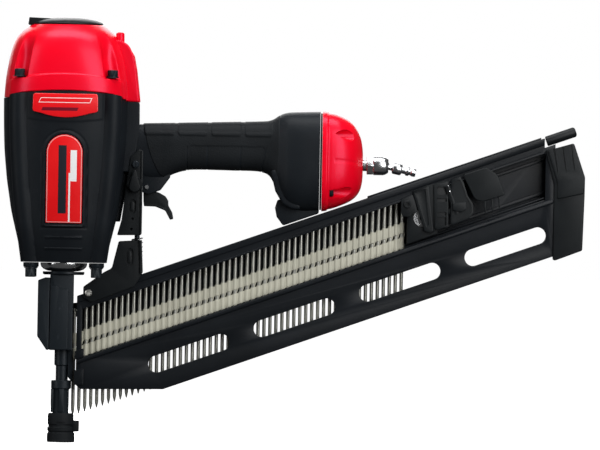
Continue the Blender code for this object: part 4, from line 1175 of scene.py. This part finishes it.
def along_rail(name, section, x0, x1, drop=0.0, edge=0.3):
    """A bar that follows the rail line: its section in Y and height, pushed from x0 to x1."""
    alone()
    bpy.ops.mesh.primitive_circle_add(vertices=len(section), radius=1, fill_type="NGON")
    piece = bpy.context.object
    piece.name = piece.data.name = name
    for vertex, (y, z) in zip(piece.data.vertices, section):
        vertex.co = at(x0, y, rail_z(x0) - drop + z)
    piece.location = (0, 0, 0)
    bpy.ops.object.mode_set(mode="EDIT")
    bpy.ops.mesh.select_all(action="SELECT")
    bpy.ops.mesh.extrude_region_move(
        TRANSFORM_OT_translate={"value": ((x1 - x0) * MM, 0, (x1 - x0) * RAIL * MM)}
    )
    bpy.ops.object.mode_set(mode="OBJECT")
    tidy(piece)
    return soften(piece, edge, 2, 50) if edge else piece


def wall_outline():
    return [
        (11.9, rail_z(11.9)), (11.9, 48.5), (16.4, 45.0), (85.3, 46.1), (411.0, floor_z(411)), (411.0, rail_z(411) - 7.8),
        (402.0, rail_z(402) - 7.8), (402.0, rail_z(402)),
    ]


def slot_cutters(y0, y1):
    cutters = []
    for k in range(4):
        x0 = 79.4 + 88.0 * k
        z0 = 67.0 + RAIL * (x0 - 79.4)
        cutters.append(plate("slot", stadium(x0, z0, x0 + 54, z0 + RAIL * 54, 7.1, 14), y0, y1))
    return cutters


near_wall = plate("near_wall", wall_outline(), -11.0, -8.6)
window = rounded(
    [
        (16.5, rail_z(16.5) - 12.6), (16.5, rail_z(16.5) - 53), (403, rail_z(403) - 53),
        (403, rail_z(403) - 12.6),
    ], 1.5
)
carve(near_wall, plate("window", window, -14, -6), *slot_cutters(-14, -6))
far_wall = plate("far_wall", wall_outline(), 8.6, 11.0)
carve(far_wall, *slot_cutters(6, 14))
roof = along_rail("roof", [(-8.8, 0.0), (8.8, 0.0), (8.8, -7.4), (-8.8, -7.4)], 12.2, 401.8, edge=0)
channel = along_rail("head_channel", [(-4.6, -2.4), (4.6, -2.4), (4.6, -9.4), (-4.6, -9.4)], 5, 410, edge=0)
carve(roof, channel)
for wall in (near_wall, far_wall):
    soften(wall, 0.35, 2, 60)
beads = [
    along_rail(
        "top_bead", [(-12.0, -0.6), (-11.0, 0.3), (-8.0, 0.3), (-8.0, -5.8), (-11.4, -5.8), (-12.0, -5.2)],
        11.9, 401.6, edge=0.5,
    ),
    along_rail(
        "top_lip", [(-11.6, -11.4), (-11.0, -10.9), (-10.6, -10.9), (-10.6, -12.6), (-11.6, -12.6)], 16.5,
        401.6, edge=0.2,
    ),
    along_rail(
        "low_bead",
        [(-12.2, -54.6), (-11.6, -53.4), (-8.6, -53.0), (-8.6, -57.4), (-11.6, -57.4), (-12.2, -56.6)],
        12.4, 409.8, edge=0.5,
    ),
    along_rail("far_rib", [(6.6, -16.0), (8.7, -16.0), (8.7, -19.0), (6.6, -19.0)], 17.0, 405, edge=0.5),
    along_rail(
        "far_rib_low", [(6.6, -44.0), (8.7, -44.0), (8.7, -47.0), (6.6, -47.0)], 17.0, 405, edge=0.5,
    ),
    along_rail("track", [(-8.4, -49.4), (-7.6, -49.4), (-7.6, -50.4), (-8.4, -50.4)], 286.0, 405, edge=0.2),
    along_rail(
        "track_low", [(-8.8, -51.6), (-7.8, -51.6), (-7.8, -53.2), (-8.8, -53.2)], 286.0, 405, edge=0.2,
    ),
    along_rail("roof_rib_near", [(-6.4, 0.0), (-4.6, 0.0), (-4.8, 1.8), (-6.2, 1.8)], 254, 399, edge=0.3),
    along_rail("roof_rib_far", [(4.6, 0.0), (6.4, 0.0), (6.2, 1.8), (4.8, 1.8)], 254, 399, edge=0.3),
    plate(
        "front_clamp_top", rounded([(10.6, 76.6), (10.6, 69.5), (18.4, 71.8), (18.4, 79.4)], 1), -12.4,
        -8.8, 0.5,
    ),
    plate(
        "front_clamp_low", rounded([(10.6, 60.6), (10.6, 48.4), (18.4, 48.4), (18.4, 62.4)], 1), -12.4,
        -8.8, 0.5,
    ),
]
magazine = join(near_wall, far_wall, roof, *beads, name="magazine")
finished(magazine, "anodised", "tool", ("magazine_body", "magazine_rail"), 40)

# %% [markdown]
# A stick of nails hangs in the magazine: round wire with chisel points and flat heads, held by two moulded
# bands that have an open slanted window between neighbours. One nail is turned and copied along the stick.

# %% Nails
FIRST_NAIL, PITCH, NAILS = 9.7, 4.98, 56


def nail_low(x):
    return 22.0 + RAIL * (x - FIRST_NAIL)


nails = []
for k in range(NAILS):
    x = FIRST_NAIL + PITCH * k
    low = nail_low(x)
    nail = lathe(
        "nail",
        [(0, 0), (0.55, 0.9), (1.5, 5.2), (1.5, 88.4), (3.1, 88.6), (3.3, 89.0), (3.1, 90.0), (0, 90.0)],
        (x, 0, low), (0, 0, 1), 10,
    )
    nails.append(nail)
stick = join(*nails, name="nails")
finished(stick, "wire", "tool", ("nail_strip",), 40)

last_x = FIRST_NAIL + PITCH * (NAILS - 1)
bands = [
    along_rail(
        "upper_band", [(-0.9, -31.0), (0.9, -31.0), (0.9, -39.4), (-0.9, -39.4)], FIRST_NAIL - 1.9,
        last_x + 1.6, edge=0.2,
    ),
    along_rail(
        "lower_band", [(-0.9, -43.0), (0.9, -43.0), (0.9, -52.4), (-0.9, -52.4)], FIRST_NAIL - 1.9,
        last_x + 1.6, edge=0.2,
    ),
]
for k in range(NAILS):
    x = FIRST_NAIL + PITCH * k
    top = rail_z(x)
    for high, low in ((30.2, 39.6), (42.8, 52.6)):
        bands.append(
            lathe(
                "collar",
                [
                    (1.45, top - low), (2.05, top - low + 0.4), (2.05, top - high - 0.8), (1.8, top - high),
                    (1.45, top - high),
                ],
                (x, 0, 0), (0, 0, 1), 10,
            )
        )
    bands.append(
        plate(
            "tie",
            [(x - 0.5, top - 43.4), (x + 1.5, top - 43.0), (x + 2.6, top - 38.6), (x + 0.8, top - 39.2)],
            -0.8, 0.8,
        )
    )
collation = join(*bands, name="collation")
finished(collation, "strip", "tool", (), 40)

# %% [markdown]
# The magazine's rear end is closed by a moulded cap with a step, three long tapered slits and a round stop in
# line with the rail.

# %% Rear cap and stop
rear = plate(
    "rear_cap_body",
    rounded(
        [
            (410.6, 159.4, 2), (434.9, 168.8, 2), (436.1, 214.0, 1), (436.2, 230.2, 4), (426.4, 258.8, 2),
            (412.0, 254.6, 1), (402.6, 253.0, 2), (410.4, 224.0, 2),
        ],
        2,
    ),
    -13.6, 13.6, 1.0, 3,
)
hood = plate(
    "rear_cap_hood",
    rounded(
        [
            (413.0, 211.5), (435.2, 216.4), (436.2, 230.2, 4), (426.4, 258.8, 2), (412.0, 254.6, 1),
            (404.0, 253.0, 2), (413.0, 225.0, 2),
        ],
        1.5,
    ),
    -15.0, 15.0, 0.9, 3,
)
for x0 in (408.6, 415.6, 422.6):
    for y0, y1 in ((-17, -13.4), (13.4, 17)):
        carve(
            hood,
            plate(
                "slit",
                [
                    (x0, 253.5 + (x0 - 408) * 0.3), (x0 + 1.6, 254.1 + (x0 - 408) * 0.3),
                    (x0 + 4.8, 234.0 + (x0 - 408) * 0.2), (x0 + 4.3, 233.6 + (x0 - 408) * 0.2),
                ],
                y0, y1,
            ),
        )
rear = join(rear, hood, name="rear_cap_moulding")
finished(rear, "moulded", "tool", ("rear_cap",), 40)
stop = lathe(
    "rail_stop_tube", [(0, 0), (3.6, 0), (4.3, 0.6), (4.3, 24.4), (3.7, 25.6), (2.4, 26.2), (0, 26.2)],
    (403.4, 0, 259.9), (1, 0, RAIL), 40,
)
finished(stop, "moulded", "tool", ("rail_stop",))

# %% [markdown]
# The pusher follows the stick under spring force. It is a stack of thin mouldings: a screw plate at the
# front, a triangular rib plate and a ladder with four windows. Its release plate, with the thumb grip, turns
# on a pin, so those pieces ride on a body of their own.

# %% Pusher carriage
def down_rail(x, drop):
    return (x, rail_z(x) - drop)


carriage = plate(
    "pusher_carriage",
    [down_rail(287.5, 50), down_rail(313.4, 50), down_rail(313.4, 15), down_rail(287.5, 15)], -11.8, 6.4,
    0.8,
)
carve(
    carriage,
    lathe(
        "coil_bore", [(0, -6), (8.0, -6), (8.0, 12), (0, 12)], (300.45, 0, rail_z(300.45) - 32), (0, -1, 0),
        40,
    ),
)
screw_plate = plate(
    "screw_plate", rounded(
        [
            (282.2, 209.0), (291.6, 213.4), (293.8, 208.4), (296.2, 198.6), (291.6, 197.2), (290.0, 194.6),
            (283.4, 194.6), (282.2, 198.4),
        ],
        1.2,
    ),
    -13.8, -12.3, 0.4,
)
base = plate(
    "pusher_base",
    rounded(
        [
            (292.2, 216.0), (303.5, 221.0), (321.6, 226.0), (322.4, 186.4), (311.5, 183.2), (308.0, 181.0),
            (302.2, 182.6), (296.6, 200.0), (292.8, 211.0),
        ],
        1.0,
    ),
    -13.4, -11.5, 0.4,
)
rib_plate = plate(
    "pusher_rib", rounded(
        [
            (292.2, 216.4), (304.0, 221.3), (305.4, 219.4), (309.6, 183.0), (307.4, 181.0), (302.2, 182.8),
            (293.2, 211.4),
        ],
        1.4,
    ), -15.2, -13.2, 0.5
)
panel = plate(
    "pusher_panel", rounded(
        [(293.4, 214.6), (302.4, 218.6), (306.0, 188.0), (304.0, 185.4), (295.6, 210.4)], 1.0,
    ), -16.5, -14.5, 0.3
)
carve(rib_plate, panel)
ladder = plate(
    "pusher_ladder",
    rounded([(309.2, 222.0), (321.6, 225.4), (321.8, 186.6), (312.6, 184.2), (310.6, 185.6)], 1.0), -15.4,
    -13.2, 0.5,
)
for low, high in ((213.6, 220.2), (207.6, 210.6), (196.0, 199.0), (187.8, 194.8)):
    carve(
        ladder,
        plate(
            "ladder_window", rounded([(312.4, low), (320.4, low), (320.4, high), (312.4, high)], 0.8), -17,
            -12.4,
        ),
    )
rim_bar = plate(
    "pusher_edge", rounded([(292.2, 216.2), (304.0, 221.4), (304.6, 220.2), (293.2, 215.2)], 0.3), -15.4,
    -13.0, 0.3,
)
rivet = socket_screw("pusher_rivet", (287.6, -13.8, 205.0), 3.3, 1.9, washer=False, axis=(0, -1, 0))
lugs = [
    lathe(
        f"pin_lug_{k}", [(1.4, low), (3.0, low), (3.0, high), (1.4, high)], (327.5, -14.2, 203.0),
        (-RAIL, 0, 1), 28,
    )
    for k, (low, high) in enumerate(((-5.4, -0.6), (14.6, 19.0)))
]
webs = [
    plate(
        f"lug_web_{k}", [(320.4, z - 2.6), (329.0, z + 0.4), (327.8, z + 4.2), (319.4, z + 1.4)], -14.6,
        -12.4, 0.3,
    )
    for k, z in enumerate((199.2, 218.2))
]
pusher = join(
    carriage, screw_plate, base, rib_plate, ladder, rim_bar, rivet, *lugs, *webs, name="pusher_moulding",
)
finished(pusher, "moulded", "pusher_unit", ("pusher",), 40)

# %% Release plate and thumb grip
leaf = plate(
    "release_leaf",
    rounded(
        [
            (324.0, 226.0), (331.0, 229.6), (334.6, 224.0), (337.8, 213.6), (342.6, 206.2), (343.2, 198.8),
            (339.6, 194.2), (324.0, 187.4),
        ],
        2.4, 6,
    ),
    -17.0, -15.6, 0.5,
)
well = plate(
    "release_well",
    rounded(
        [
            (325.4, 223.6), (330.6, 226.8), (333.4, 222.0), (336.4, 212.6), (341.0, 205.4), (341.2, 199.6),
            (338.6, 196.0), (325.4, 190.0),
        ],
        2.2, 6,
    ),
    -18, -16.5,
)
carve(leaf, well)
button = plate(
    "release_button",
    rounded([(325.4, 206.6), (336.6, 208.0), (337.0, 201.6), (333.0, 199.4), (325.8, 200.6)], 0.9), -18.8,
    -16.2, 0.5,
)
grip_outline = rounded(
    [
        (333.4, 230.6, 3), (353.4, 237.2, 6), (362.6, 231.0, 6), (366.6, 221.4, 5), (369.0, 214.2, 1),
        (350.6, 208.4, 6), (344.0, 210.0, 6), (338.4, 221.0, 6),
    ], 3, 6
)
thumb = plate("thumb_grip", grip_outline, -20.5, -15.8, 1.3, 4)
fins = [
    plate(
        f"grip_fin_{k}",
        rounded([(x, z), (x + 1.7, z + 0.5), (x + 2.2, z - 9.6), (x + 1.2, z - 10.4)], 0.4), -19.4, -16.2,
        0.3,
    )
    for k, (x, z) in enumerate(((351.4, 209.0), (357.2, 211.0), (363.2, 213.0)))
]
hinge = lathe(
    "release_knuckle", [(1.7, 0), (3.0, 0), (3.0, 14), (1.7, 14)], (327.5, -14.2, 203.0), (-RAIL, 0, 1), 28,
)
latch = join(leaf, button, thumb, hinge, *fins, name="release_moulding")
finished(latch, "moulded", "latch_unit", ("pusher_latch",), 40)

# %% [markdown]
# In front of the trigger hangs the guard for the work contact's rod: a folded plate with a slot, two rivet
# holes and a slotted screw. A finger wheel sets the driving depth, and a teardrop lever on it selects the
# firing mode.

# %% Guard, wheel and selector
guard = plate(
    "guard_plate",
    rounded(
        [
            (60.8, 246.5, 2), (54.6, 240.5, 3), (53.4, 229.5, 2), (50.6, 208.5, 1), (48.0, 187.4, 1),
            (44.5, 174.6, 1), (64.4, 175.0, 1), (65.2, 176.5, 1), (65.2, 246.5, 2),
        ],
        2,
    ),
    -17.2, -14.6, 0.5, 3,
)
carve(
    guard,
    plate("recess", stadium(56.9, 196.0, 56.9, 202.0, 3.1), -19, -15.8),
    lathe("rivet_hole", [(0, 0), (1.1, 0), (1.1, 8), (0, 8)], (57.3, -22, 188.8), (0, 1, 0), 20),
    lathe("rivet_hole", [(0, 0), (1.2, 0), (1.2, 8), (0, 8)], (56.4, -22, 180.0), (0, 1, 0), 20),
)
inner = plate("recess_rim", stadium(56.9, 196.6, 56.9, 201.4, 1.7), -16.6, -15.4, 0.3)
block = plate(
    "guard_block",
    rounded([(52.0, 205.0), (48.8, 187.4), (46.8, 176.4), (64.6, 176.4), (64.6, 205.0)], 1.0), -15.0, 13.0,
    0.8,
)
carve(block, lathe("rod_hole", [(0, 0), (2.7, 0), (2.7, 40), (0, 40)], (61.2, 0, 170), steps=28))
flange = plate(
    "guard_flange", rounded([(63.4, 176.5), (65.2, 176.5), (65.2, 246.0), (63.4, 246.0)], 0.6), -18.2,
    -14.0, 0.4,
)
guard = join(guard, inner, block, flange, name="rod_guard")
finished(guard, "moulded", "tool", ("arm_guard",), 40)

wheel = lathe(
    "finger_wheel", [(2.4, 17.7), (6.1, 17.7), (6.7, 18.2), (6.7, 19.5), (6.1, 20.0), (2.4, 20.0)],
    (58.6, 0, 217.5), (0, -1, 0), 72,
)
centre = at(58.6, 0, 217.5)
for vertex in wheel.data.vertices:
    spoke = Vector((vertex.co.x - centre.x, vertex.co.z - centre.z))
    if spoke.length > 5.8 * MM and round(math.atan2(spoke.y, spoke.x) / (2 * math.pi) * 72) % 3 == 0:
        vertex.co.x = centre.x + spoke.x * 0.90
        vertex.co.z = centre.z + spoke.y * 0.90
finished(wheel, "moulded", "depth_wheel_unit", ("depth_wheel",), 30)
drop = [
    (58.6 + 4.6 * math.cos(a), 215.6 + 4.6 * math.sin(a))
    for a in [math.radians(-205 + 230 * k / 20) for k in range(21)]
]
teardrop = plate(
    "selector_lever", drop + [(60.2, 227.6), (59.2, 229.4), (58.0, 229.4), (57.0, 227.6)], -23.2, -20.5,
    1.0, 4,
)
stub = lathe(
    "selector_stub", [(0, 15.6), (2.0, 15.6), (2.0, 21.0), (0, 21.0)], (58.6, 0, 217.5), (0, -1, 0), 28,
)
finished(join(teardrop, stub), "moulded", "selector_unit", ("mode_selector",), 40)

shank = lathe(
    "guard_screw_head", [
        (0, 14.5), (1.5, 14.5), (1.5, 17.3), (2.9, 17.3), (3.0, 18.9), (2.3, 19.6), (0, 19.6),
    ], (59.1, 0, 234.3),
    (0, -1, 0), 40,
)
carve(shank, plate("driver_slot", [(58.7, 230), (59.5, 230), (59.5, 239), (58.7, 239)], -21, -18.8))
finished(shank, "phosphate", "tool", ("guard_screw",))

# %% [markdown]
# The trigger is a curved lever with a thin lip along its lower edge. Beside it, the bracket that ties the
# magazine to the body is a plate with a pressed groove.

# %% Trigger and bracket
lever = plate(
    "trigger_lever",
    rounded(
        [
            (65.6, 213.6, 1), (72, 213.4, 1), (79.7, 210.7, 3), (84.4, 208.1, 3), (86.8, 204.4, 2),
            (87.0, 200.2, 3), (90.3, 194.6, 3), (91.3, 189.0, 1), (88.5, 188.4, 1), (84.4, 196.0, 4),
            (76.0, 199.2, 4), (66.6, 199.4, 1), (66.0, 203, 1),
        ],
        1.5, 5,
    ),
    -5.4, 5.4, 1.0, 4,
)
lip = plate(
    "trigger_lip",
    rounded(
        [
            (66.4, 201.4, 0.5), (76.4, 201.2, 4), (85.2, 198.0, 4), (89.2, 190.0, 1), (91.3, 189.0, 0.6),
            (88.5, 188.4, 0.6), (84.4, 196.0, 4), (76.0, 199.2, 4), (66.6, 199.4, 0.5),
        ],
        1.5, 5,
    ),
    -6.0, 6.0, 0.5, 3,
)
hub = lathe(
    "trigger_hub", [(2.0, -5.8), (3.4, -5.8), (3.4, 5.8), (2.0, 5.8)], (68.7, 0, 215.4), (0, -1, 0), 28,
)
for piece in (lever, lip):
    carve(
        piece,
        lathe("pin_hole", [(0, -20), (2.0, -20), (2.0, 20), (0, 20)], (68.7, 0, 215.5), (0, -1, 0), 24),
    )
trigger = join(lever, lip, hub, name="trigger_moulding")
finished(trigger, "moulded", "trigger_unit", ("trigger",), 40)

bracket = plate(
    "tie_bracket",
    rounded(
        [
            (46, 169.7, 2), (65.4, 171, 2), (66.7, 144, 1), (60, 132, 3), (24, 118, 3), (17, 122, 2),
            (17, 131, 2), (34, 143.4, 4), (40.6, 147, 4),
        ],
        2, 5,
    ),
    -14.2, -11.4, 0.5, 3,
)
carve(bracket, plate("groove", stadium(55.5, 152, 55.5, 161, 3.0), -16, -13.0))
island = plate("groove_island", stadium(55.5, 153, 55.5, 160, 1.5), -14.0, -12.6, 0.3)
fold = plate(
    "bracket_fold", rounded([(63.2, 170.8), (65.4, 171), (66.7, 144.6), (64.6, 141.6)], 0.5), -16.2, -11.6,
    0.4,
)
finished(join(bracket, island, fold), "moulded", "tool", ("front_bracket",), 40)

# %% [markdown]
# The nose carries the nail down: a steel block behind a folded cover, a ring of bright sheet under the barrel,
# and the slim barrel inside the work contact's sleeve. The rubber pad on the sleeve's foot protects the work.

# %% Nose, cover and ring
nose = plate(
    "nose_block", rounded([(-10.9, 77.3), (8.6, 77.3), (8.6, 143.6), (-10.9, 143.6)], 1.2), -14.0, 14.0,
    0.8, 3,
)
front = plate(
    "nose_front",
    rounded(
        [
            (-10.4, 77.6, 2), (4.6, 77.6, 2), (4.6, 129.0, 1.5), (-3.6, 129.0, 2), (-4.8, 131.4, 2),
            (-10.4, 131.8, 1),
        ],
        1.5,
    ),
    -15.4, -13.6, 0.6, 3,
)
back = plate(
    "nose_back", rounded([(-10.4, 77.6, 2), (4.6, 77.6, 2), (4.6, 129.0, 1.5), (-10.4, 129.0, 1)], 1.5),
    13.6, 14.8, 0.6, 3,
)
flange = lathe(
    "nose_flange", [(9.0, 140.6), (16.5, 140.6), (17.5, 141.4), (17.5, 143.2), (9.0, 143.2)], (0, 0, 0),
    steps=64,
)
lugs = [
    lathe(
        f"flange_lug_{k}", [(2.9, 146.9), (5.6, 146.9), (6.0, 147.4), (6.0, 150.6), (2.9, 150.6)],
        (sx * 27.5, sy * 21.0, 0), steps=32,
    )
    for k, (sx, sy) in enumerate(COLUMN_SIDES)
]
muzzle = lathe(
    "nose_barrel", [(3.9, 40.0), (5.1, 40.0), (5.1, 64.0), (6.4, 65.0), (6.4, 78.5), (3.9, 78.5)],
    (0, 0, 0), steps=48,
)
guide = plate(
    "nail_guide", rounded([(5.0, 55.0, 0.5), (9.2, 50.0, 0.5), (9.2, 78.4, 0.5), (5.0, 78.4, 0.5)], 0.5),
    -5.4, 5.4, 0.5,
)
carve(guide, plate("guide_slot", [(3, 45), (12, 45), (12, 90), (3, 90)], -2.4, 2.4))
nose = join(nose, front, back, flange, muzzle, guide, *lugs, name="nose")
finished(nose, "phosphate", "tool", ("nose_body",), 40)

cover = plate(
    "nose_cover_sheet",
    rounded(
        [
            (-11.1, 77.4, 1), (-13.2, 77.4, 1), (-21.0, 88.9, 2), (-21.0, 135.8, 1), (-15.5, 138.1, 1),
            (-11.1, 138.1, 1),
        ],
        1.5,
    ),
    -14.6, 14.6, 2.0, 4,
)
finished(cover, "phosphate", "tool", ("nose_cover",), 40)
bowl = lathe(
    "nose_bowl",
    [
        (6.5, 143.4), (9.0, 143.4), (13.5, 143.9), (16.8, 145.2), (18.9, 147.2), (19.6, 149.2),
        (19.6, 150.6), (6.5, 150.6),
    ],
    (0, 0, 0), steps=72,
)
finished(bowl, "bright", "tool", ("nose_ring",), 40)

# %% Work contact and pad
sleeve = lathe(
    "contact_sleeve",
    [
        (5.5, 6.4), (7.2, 6.4), (7.2, 43.6), (7.6, 44.6), (8.8, 45.4), (8.8, 51.4), (8.2, 52.0), (5.5, 52.0),
    ], (0, 0, 0), steps=64,
)
carve(sleeve, plate("sleeve_window", [(2, 11.0), (20, 11.0), (20, 60), (2, 60)], -3.7, 3.7))
rib_left = plate(
    "sleeve_rib", rounded([(-8.8, 25.0), (-6.6, 25.0), (-6.6, 45.0), (-8.8, 45.0)], 0.5), -4.5, 4.5, 0.4,
)
rib_near = plate(
    "sleeve_rib_near", rounded(
        [(-2.0, 25.4), (2.2, 25.4), (2.2, 45.0), (-2.0, 45.0)], 0.5,
    ), -8.4, -6.4, 0.4,
)
arm = plate(
    "contact_far_arm",
    rounded(
        [
            (-4.5, 46), (4.5, 46), (4.5, 104, 4), (38, 111, 8), (64, 136, 3), (64, 149), (58, 149),
            (36, 121, 8), (-4.5, 115, 3),
        ],
        1.5, 5,
    ),
    16.2, 18.8, 0.5, 3,
)
foot = plate(
    "arm_foot", rounded([(-4.0, 46.5), (4.0, 46.5), (4.0, 51.5), (-4.0, 51.5)], 0.6), 6.8, 18.4, 0.4,
)
bridge = plate(
    "arm_bridge", rounded([(58.7, 143.6), (63.4, 143.6), (63.4, 148.4), (58.7, 148.4)], 0.6), -3.0, 18.3,
    0.5,
)
rod = lathe(
    "contact_rod", [(0, 144.5), (2.2, 144.5), (2.2, 189.4), (1.7, 190), (0, 190)], (61.2, 0, 0), steps=24,
)
contact = join(sleeve, rib_left, rib_near, arm, foot, bridge, rod, name="work_contact")
finished(contact, "phosphate", "contact_unit", ("contact_arm",), 40)

pad = lathe(
    "rubber_pad",
    [
        (4.4, 0), (11.0, 0), (11.75, 0.7), (11.5, 7.6), (10.9, 8.2), (10.6, 8.9), (11.4, 9.6), (11.5, 12.2), (10.6, 12.9), (10.5, 14.4), (11.3, 15.2),
        (11.2, 22.6), (10.6, 24.4), (7.5, 24.4), (7.5, 6.0), (4.4, 6.0),
    ],
    (0, 0, 0), steps=72,
)
carve(pad, plate("pad_slot", [(2, 10.8), (25, 10.8), (25, 40), (2, 40)], -3.7, 3.7))
pad_recess = plate("pad_recess", stadium(-4, 15.6, 6.5, 15.6, 1.3), -14, -10.4)
carve(pad, pad_recess)
tabs = [
    plate(f"pad_tab_{k}", rounded([(9.6, 8.8), (15.2, 9.2), (15.2, 18.2), (9.6, 18.5)], 0.8), y0, y1, 0.5)
    for k, (y0, y1) in enumerate(((-6.0, -3.8), (3.8, 6.0)))
]
finished(join(pad, *tabs), "rubber", "contact_unit", ("nose_pad",), 40)

# %% [markdown]
# The tool stands on a wide pale floor under an even white sky. The floor and the sky look white but light the
# tool only a little, so the black stays black. One broad lamp from the right draws the soft upright highlight
# in the red head, and weaker ones stand at the left, above and behind. A long lens from far away keeps the
# near and far sides lined up.

# %% Floor, sky and lamps
floor_finish = Finish(
    "pale_floor", (0.9, 0.9, 0.9), 0.9, Emission_Color=(1, 1, 1, 1), Emission_Strength=1.0,
)
floor_finish.set(
    "Base Color",
    floor_finish.mix(floor_finish.noise(2.0, 2.0), rgb(0.93, 0.93, 0.93), rgb(0.96, 0.96, 0.96)),
)
FINISHES["floor"] = floor_finish
alone()
bpy.ops.mesh.primitive_plane_add(size=60, location=(0.2, 0, cad_low[2] - 0.0005))
ground = bpy.context.object
ground.name = ground.data.name = "floor"
ground.data.transform(Matrix.Translation(ground.location))
ground.location = (0, 0, 0)
paint(ground, "floor")
ground.visible_diffuse = ground.visible_glossy = False
ground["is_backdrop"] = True

sky = bpy.data.worlds.new("studio_sky")
sky.use_nodes = True
nodes, links = sky.node_tree.nodes, sky.node_tree.links
path = nodes.new("ShaderNodeLightPath")
lit = nodes.new("ShaderNodeMapRange")
lit.inputs[3].default_value, lit.inputs[4].default_value = 0.07, 1.0
links.new(path.outputs["Is Camera Ray"], lit.inputs[0])
links.new(lit.outputs[0], nodes["Background"].inputs["Strength"])
nodes["Background"].inputs["Color"].default_value = (1, 1, 1, 1)
bpy.context.scene.world = sky
bpy.context.scene.view_settings.view_transform = "Standard"


def lamp(name, place_, target, width, height, power):
    alone()
    bpy.ops.object.light_add(type="AREA", location=place_)
    made = bpy.context.object
    made.name = name
    made.data.shape = "RECTANGLE"
    made.data.size, made.data.size_y = width, height
    made.data.energy = power
    made.rotation_euler = (Vector(target) - Vector(place_)).to_track_quat("-Z", "Y").to_euler()
    return made


middle = Vector(((cad_low[0] + cad_high[0]) / 2, 0, (cad_low[2] + cad_high[2]) / 2))
lamp("key_lamp", (0.95, -1.35, 0.70), (0.05, 0, 0.22), 1.0, 1.5, 28)
lamp("left_lamp", (-1.25, -0.75, 0.60), (0.05, 0, 0.22), 0.5, 1.5, 9)
lamp("top_lamp", (0.15, -0.25, 1.6), middle, 1.4, 0.8, 26)
lamp("back_lamp", (0.0, 1.5, 0.9), middle, 1.5, 1.0, 16)

# %% Camera
DISTANCE = 9.0
alone()
bpy.ops.object.camera_add(
    location=(0.1903, -DISTANCE, 0.1860), rotation=(math.pi / 2, -math.radians(1.05), 0),
)
camera = bpy.context.object
camera.data.sensor_width = 36
camera.data.lens = 36 * DISTANCE / 0.504
camera.data.clip_end = 100
bpy.context.scene.camera = camera

# %% Sizes
low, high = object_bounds()
print("visual box", [round(v, 4) for v in (*low, *high)])
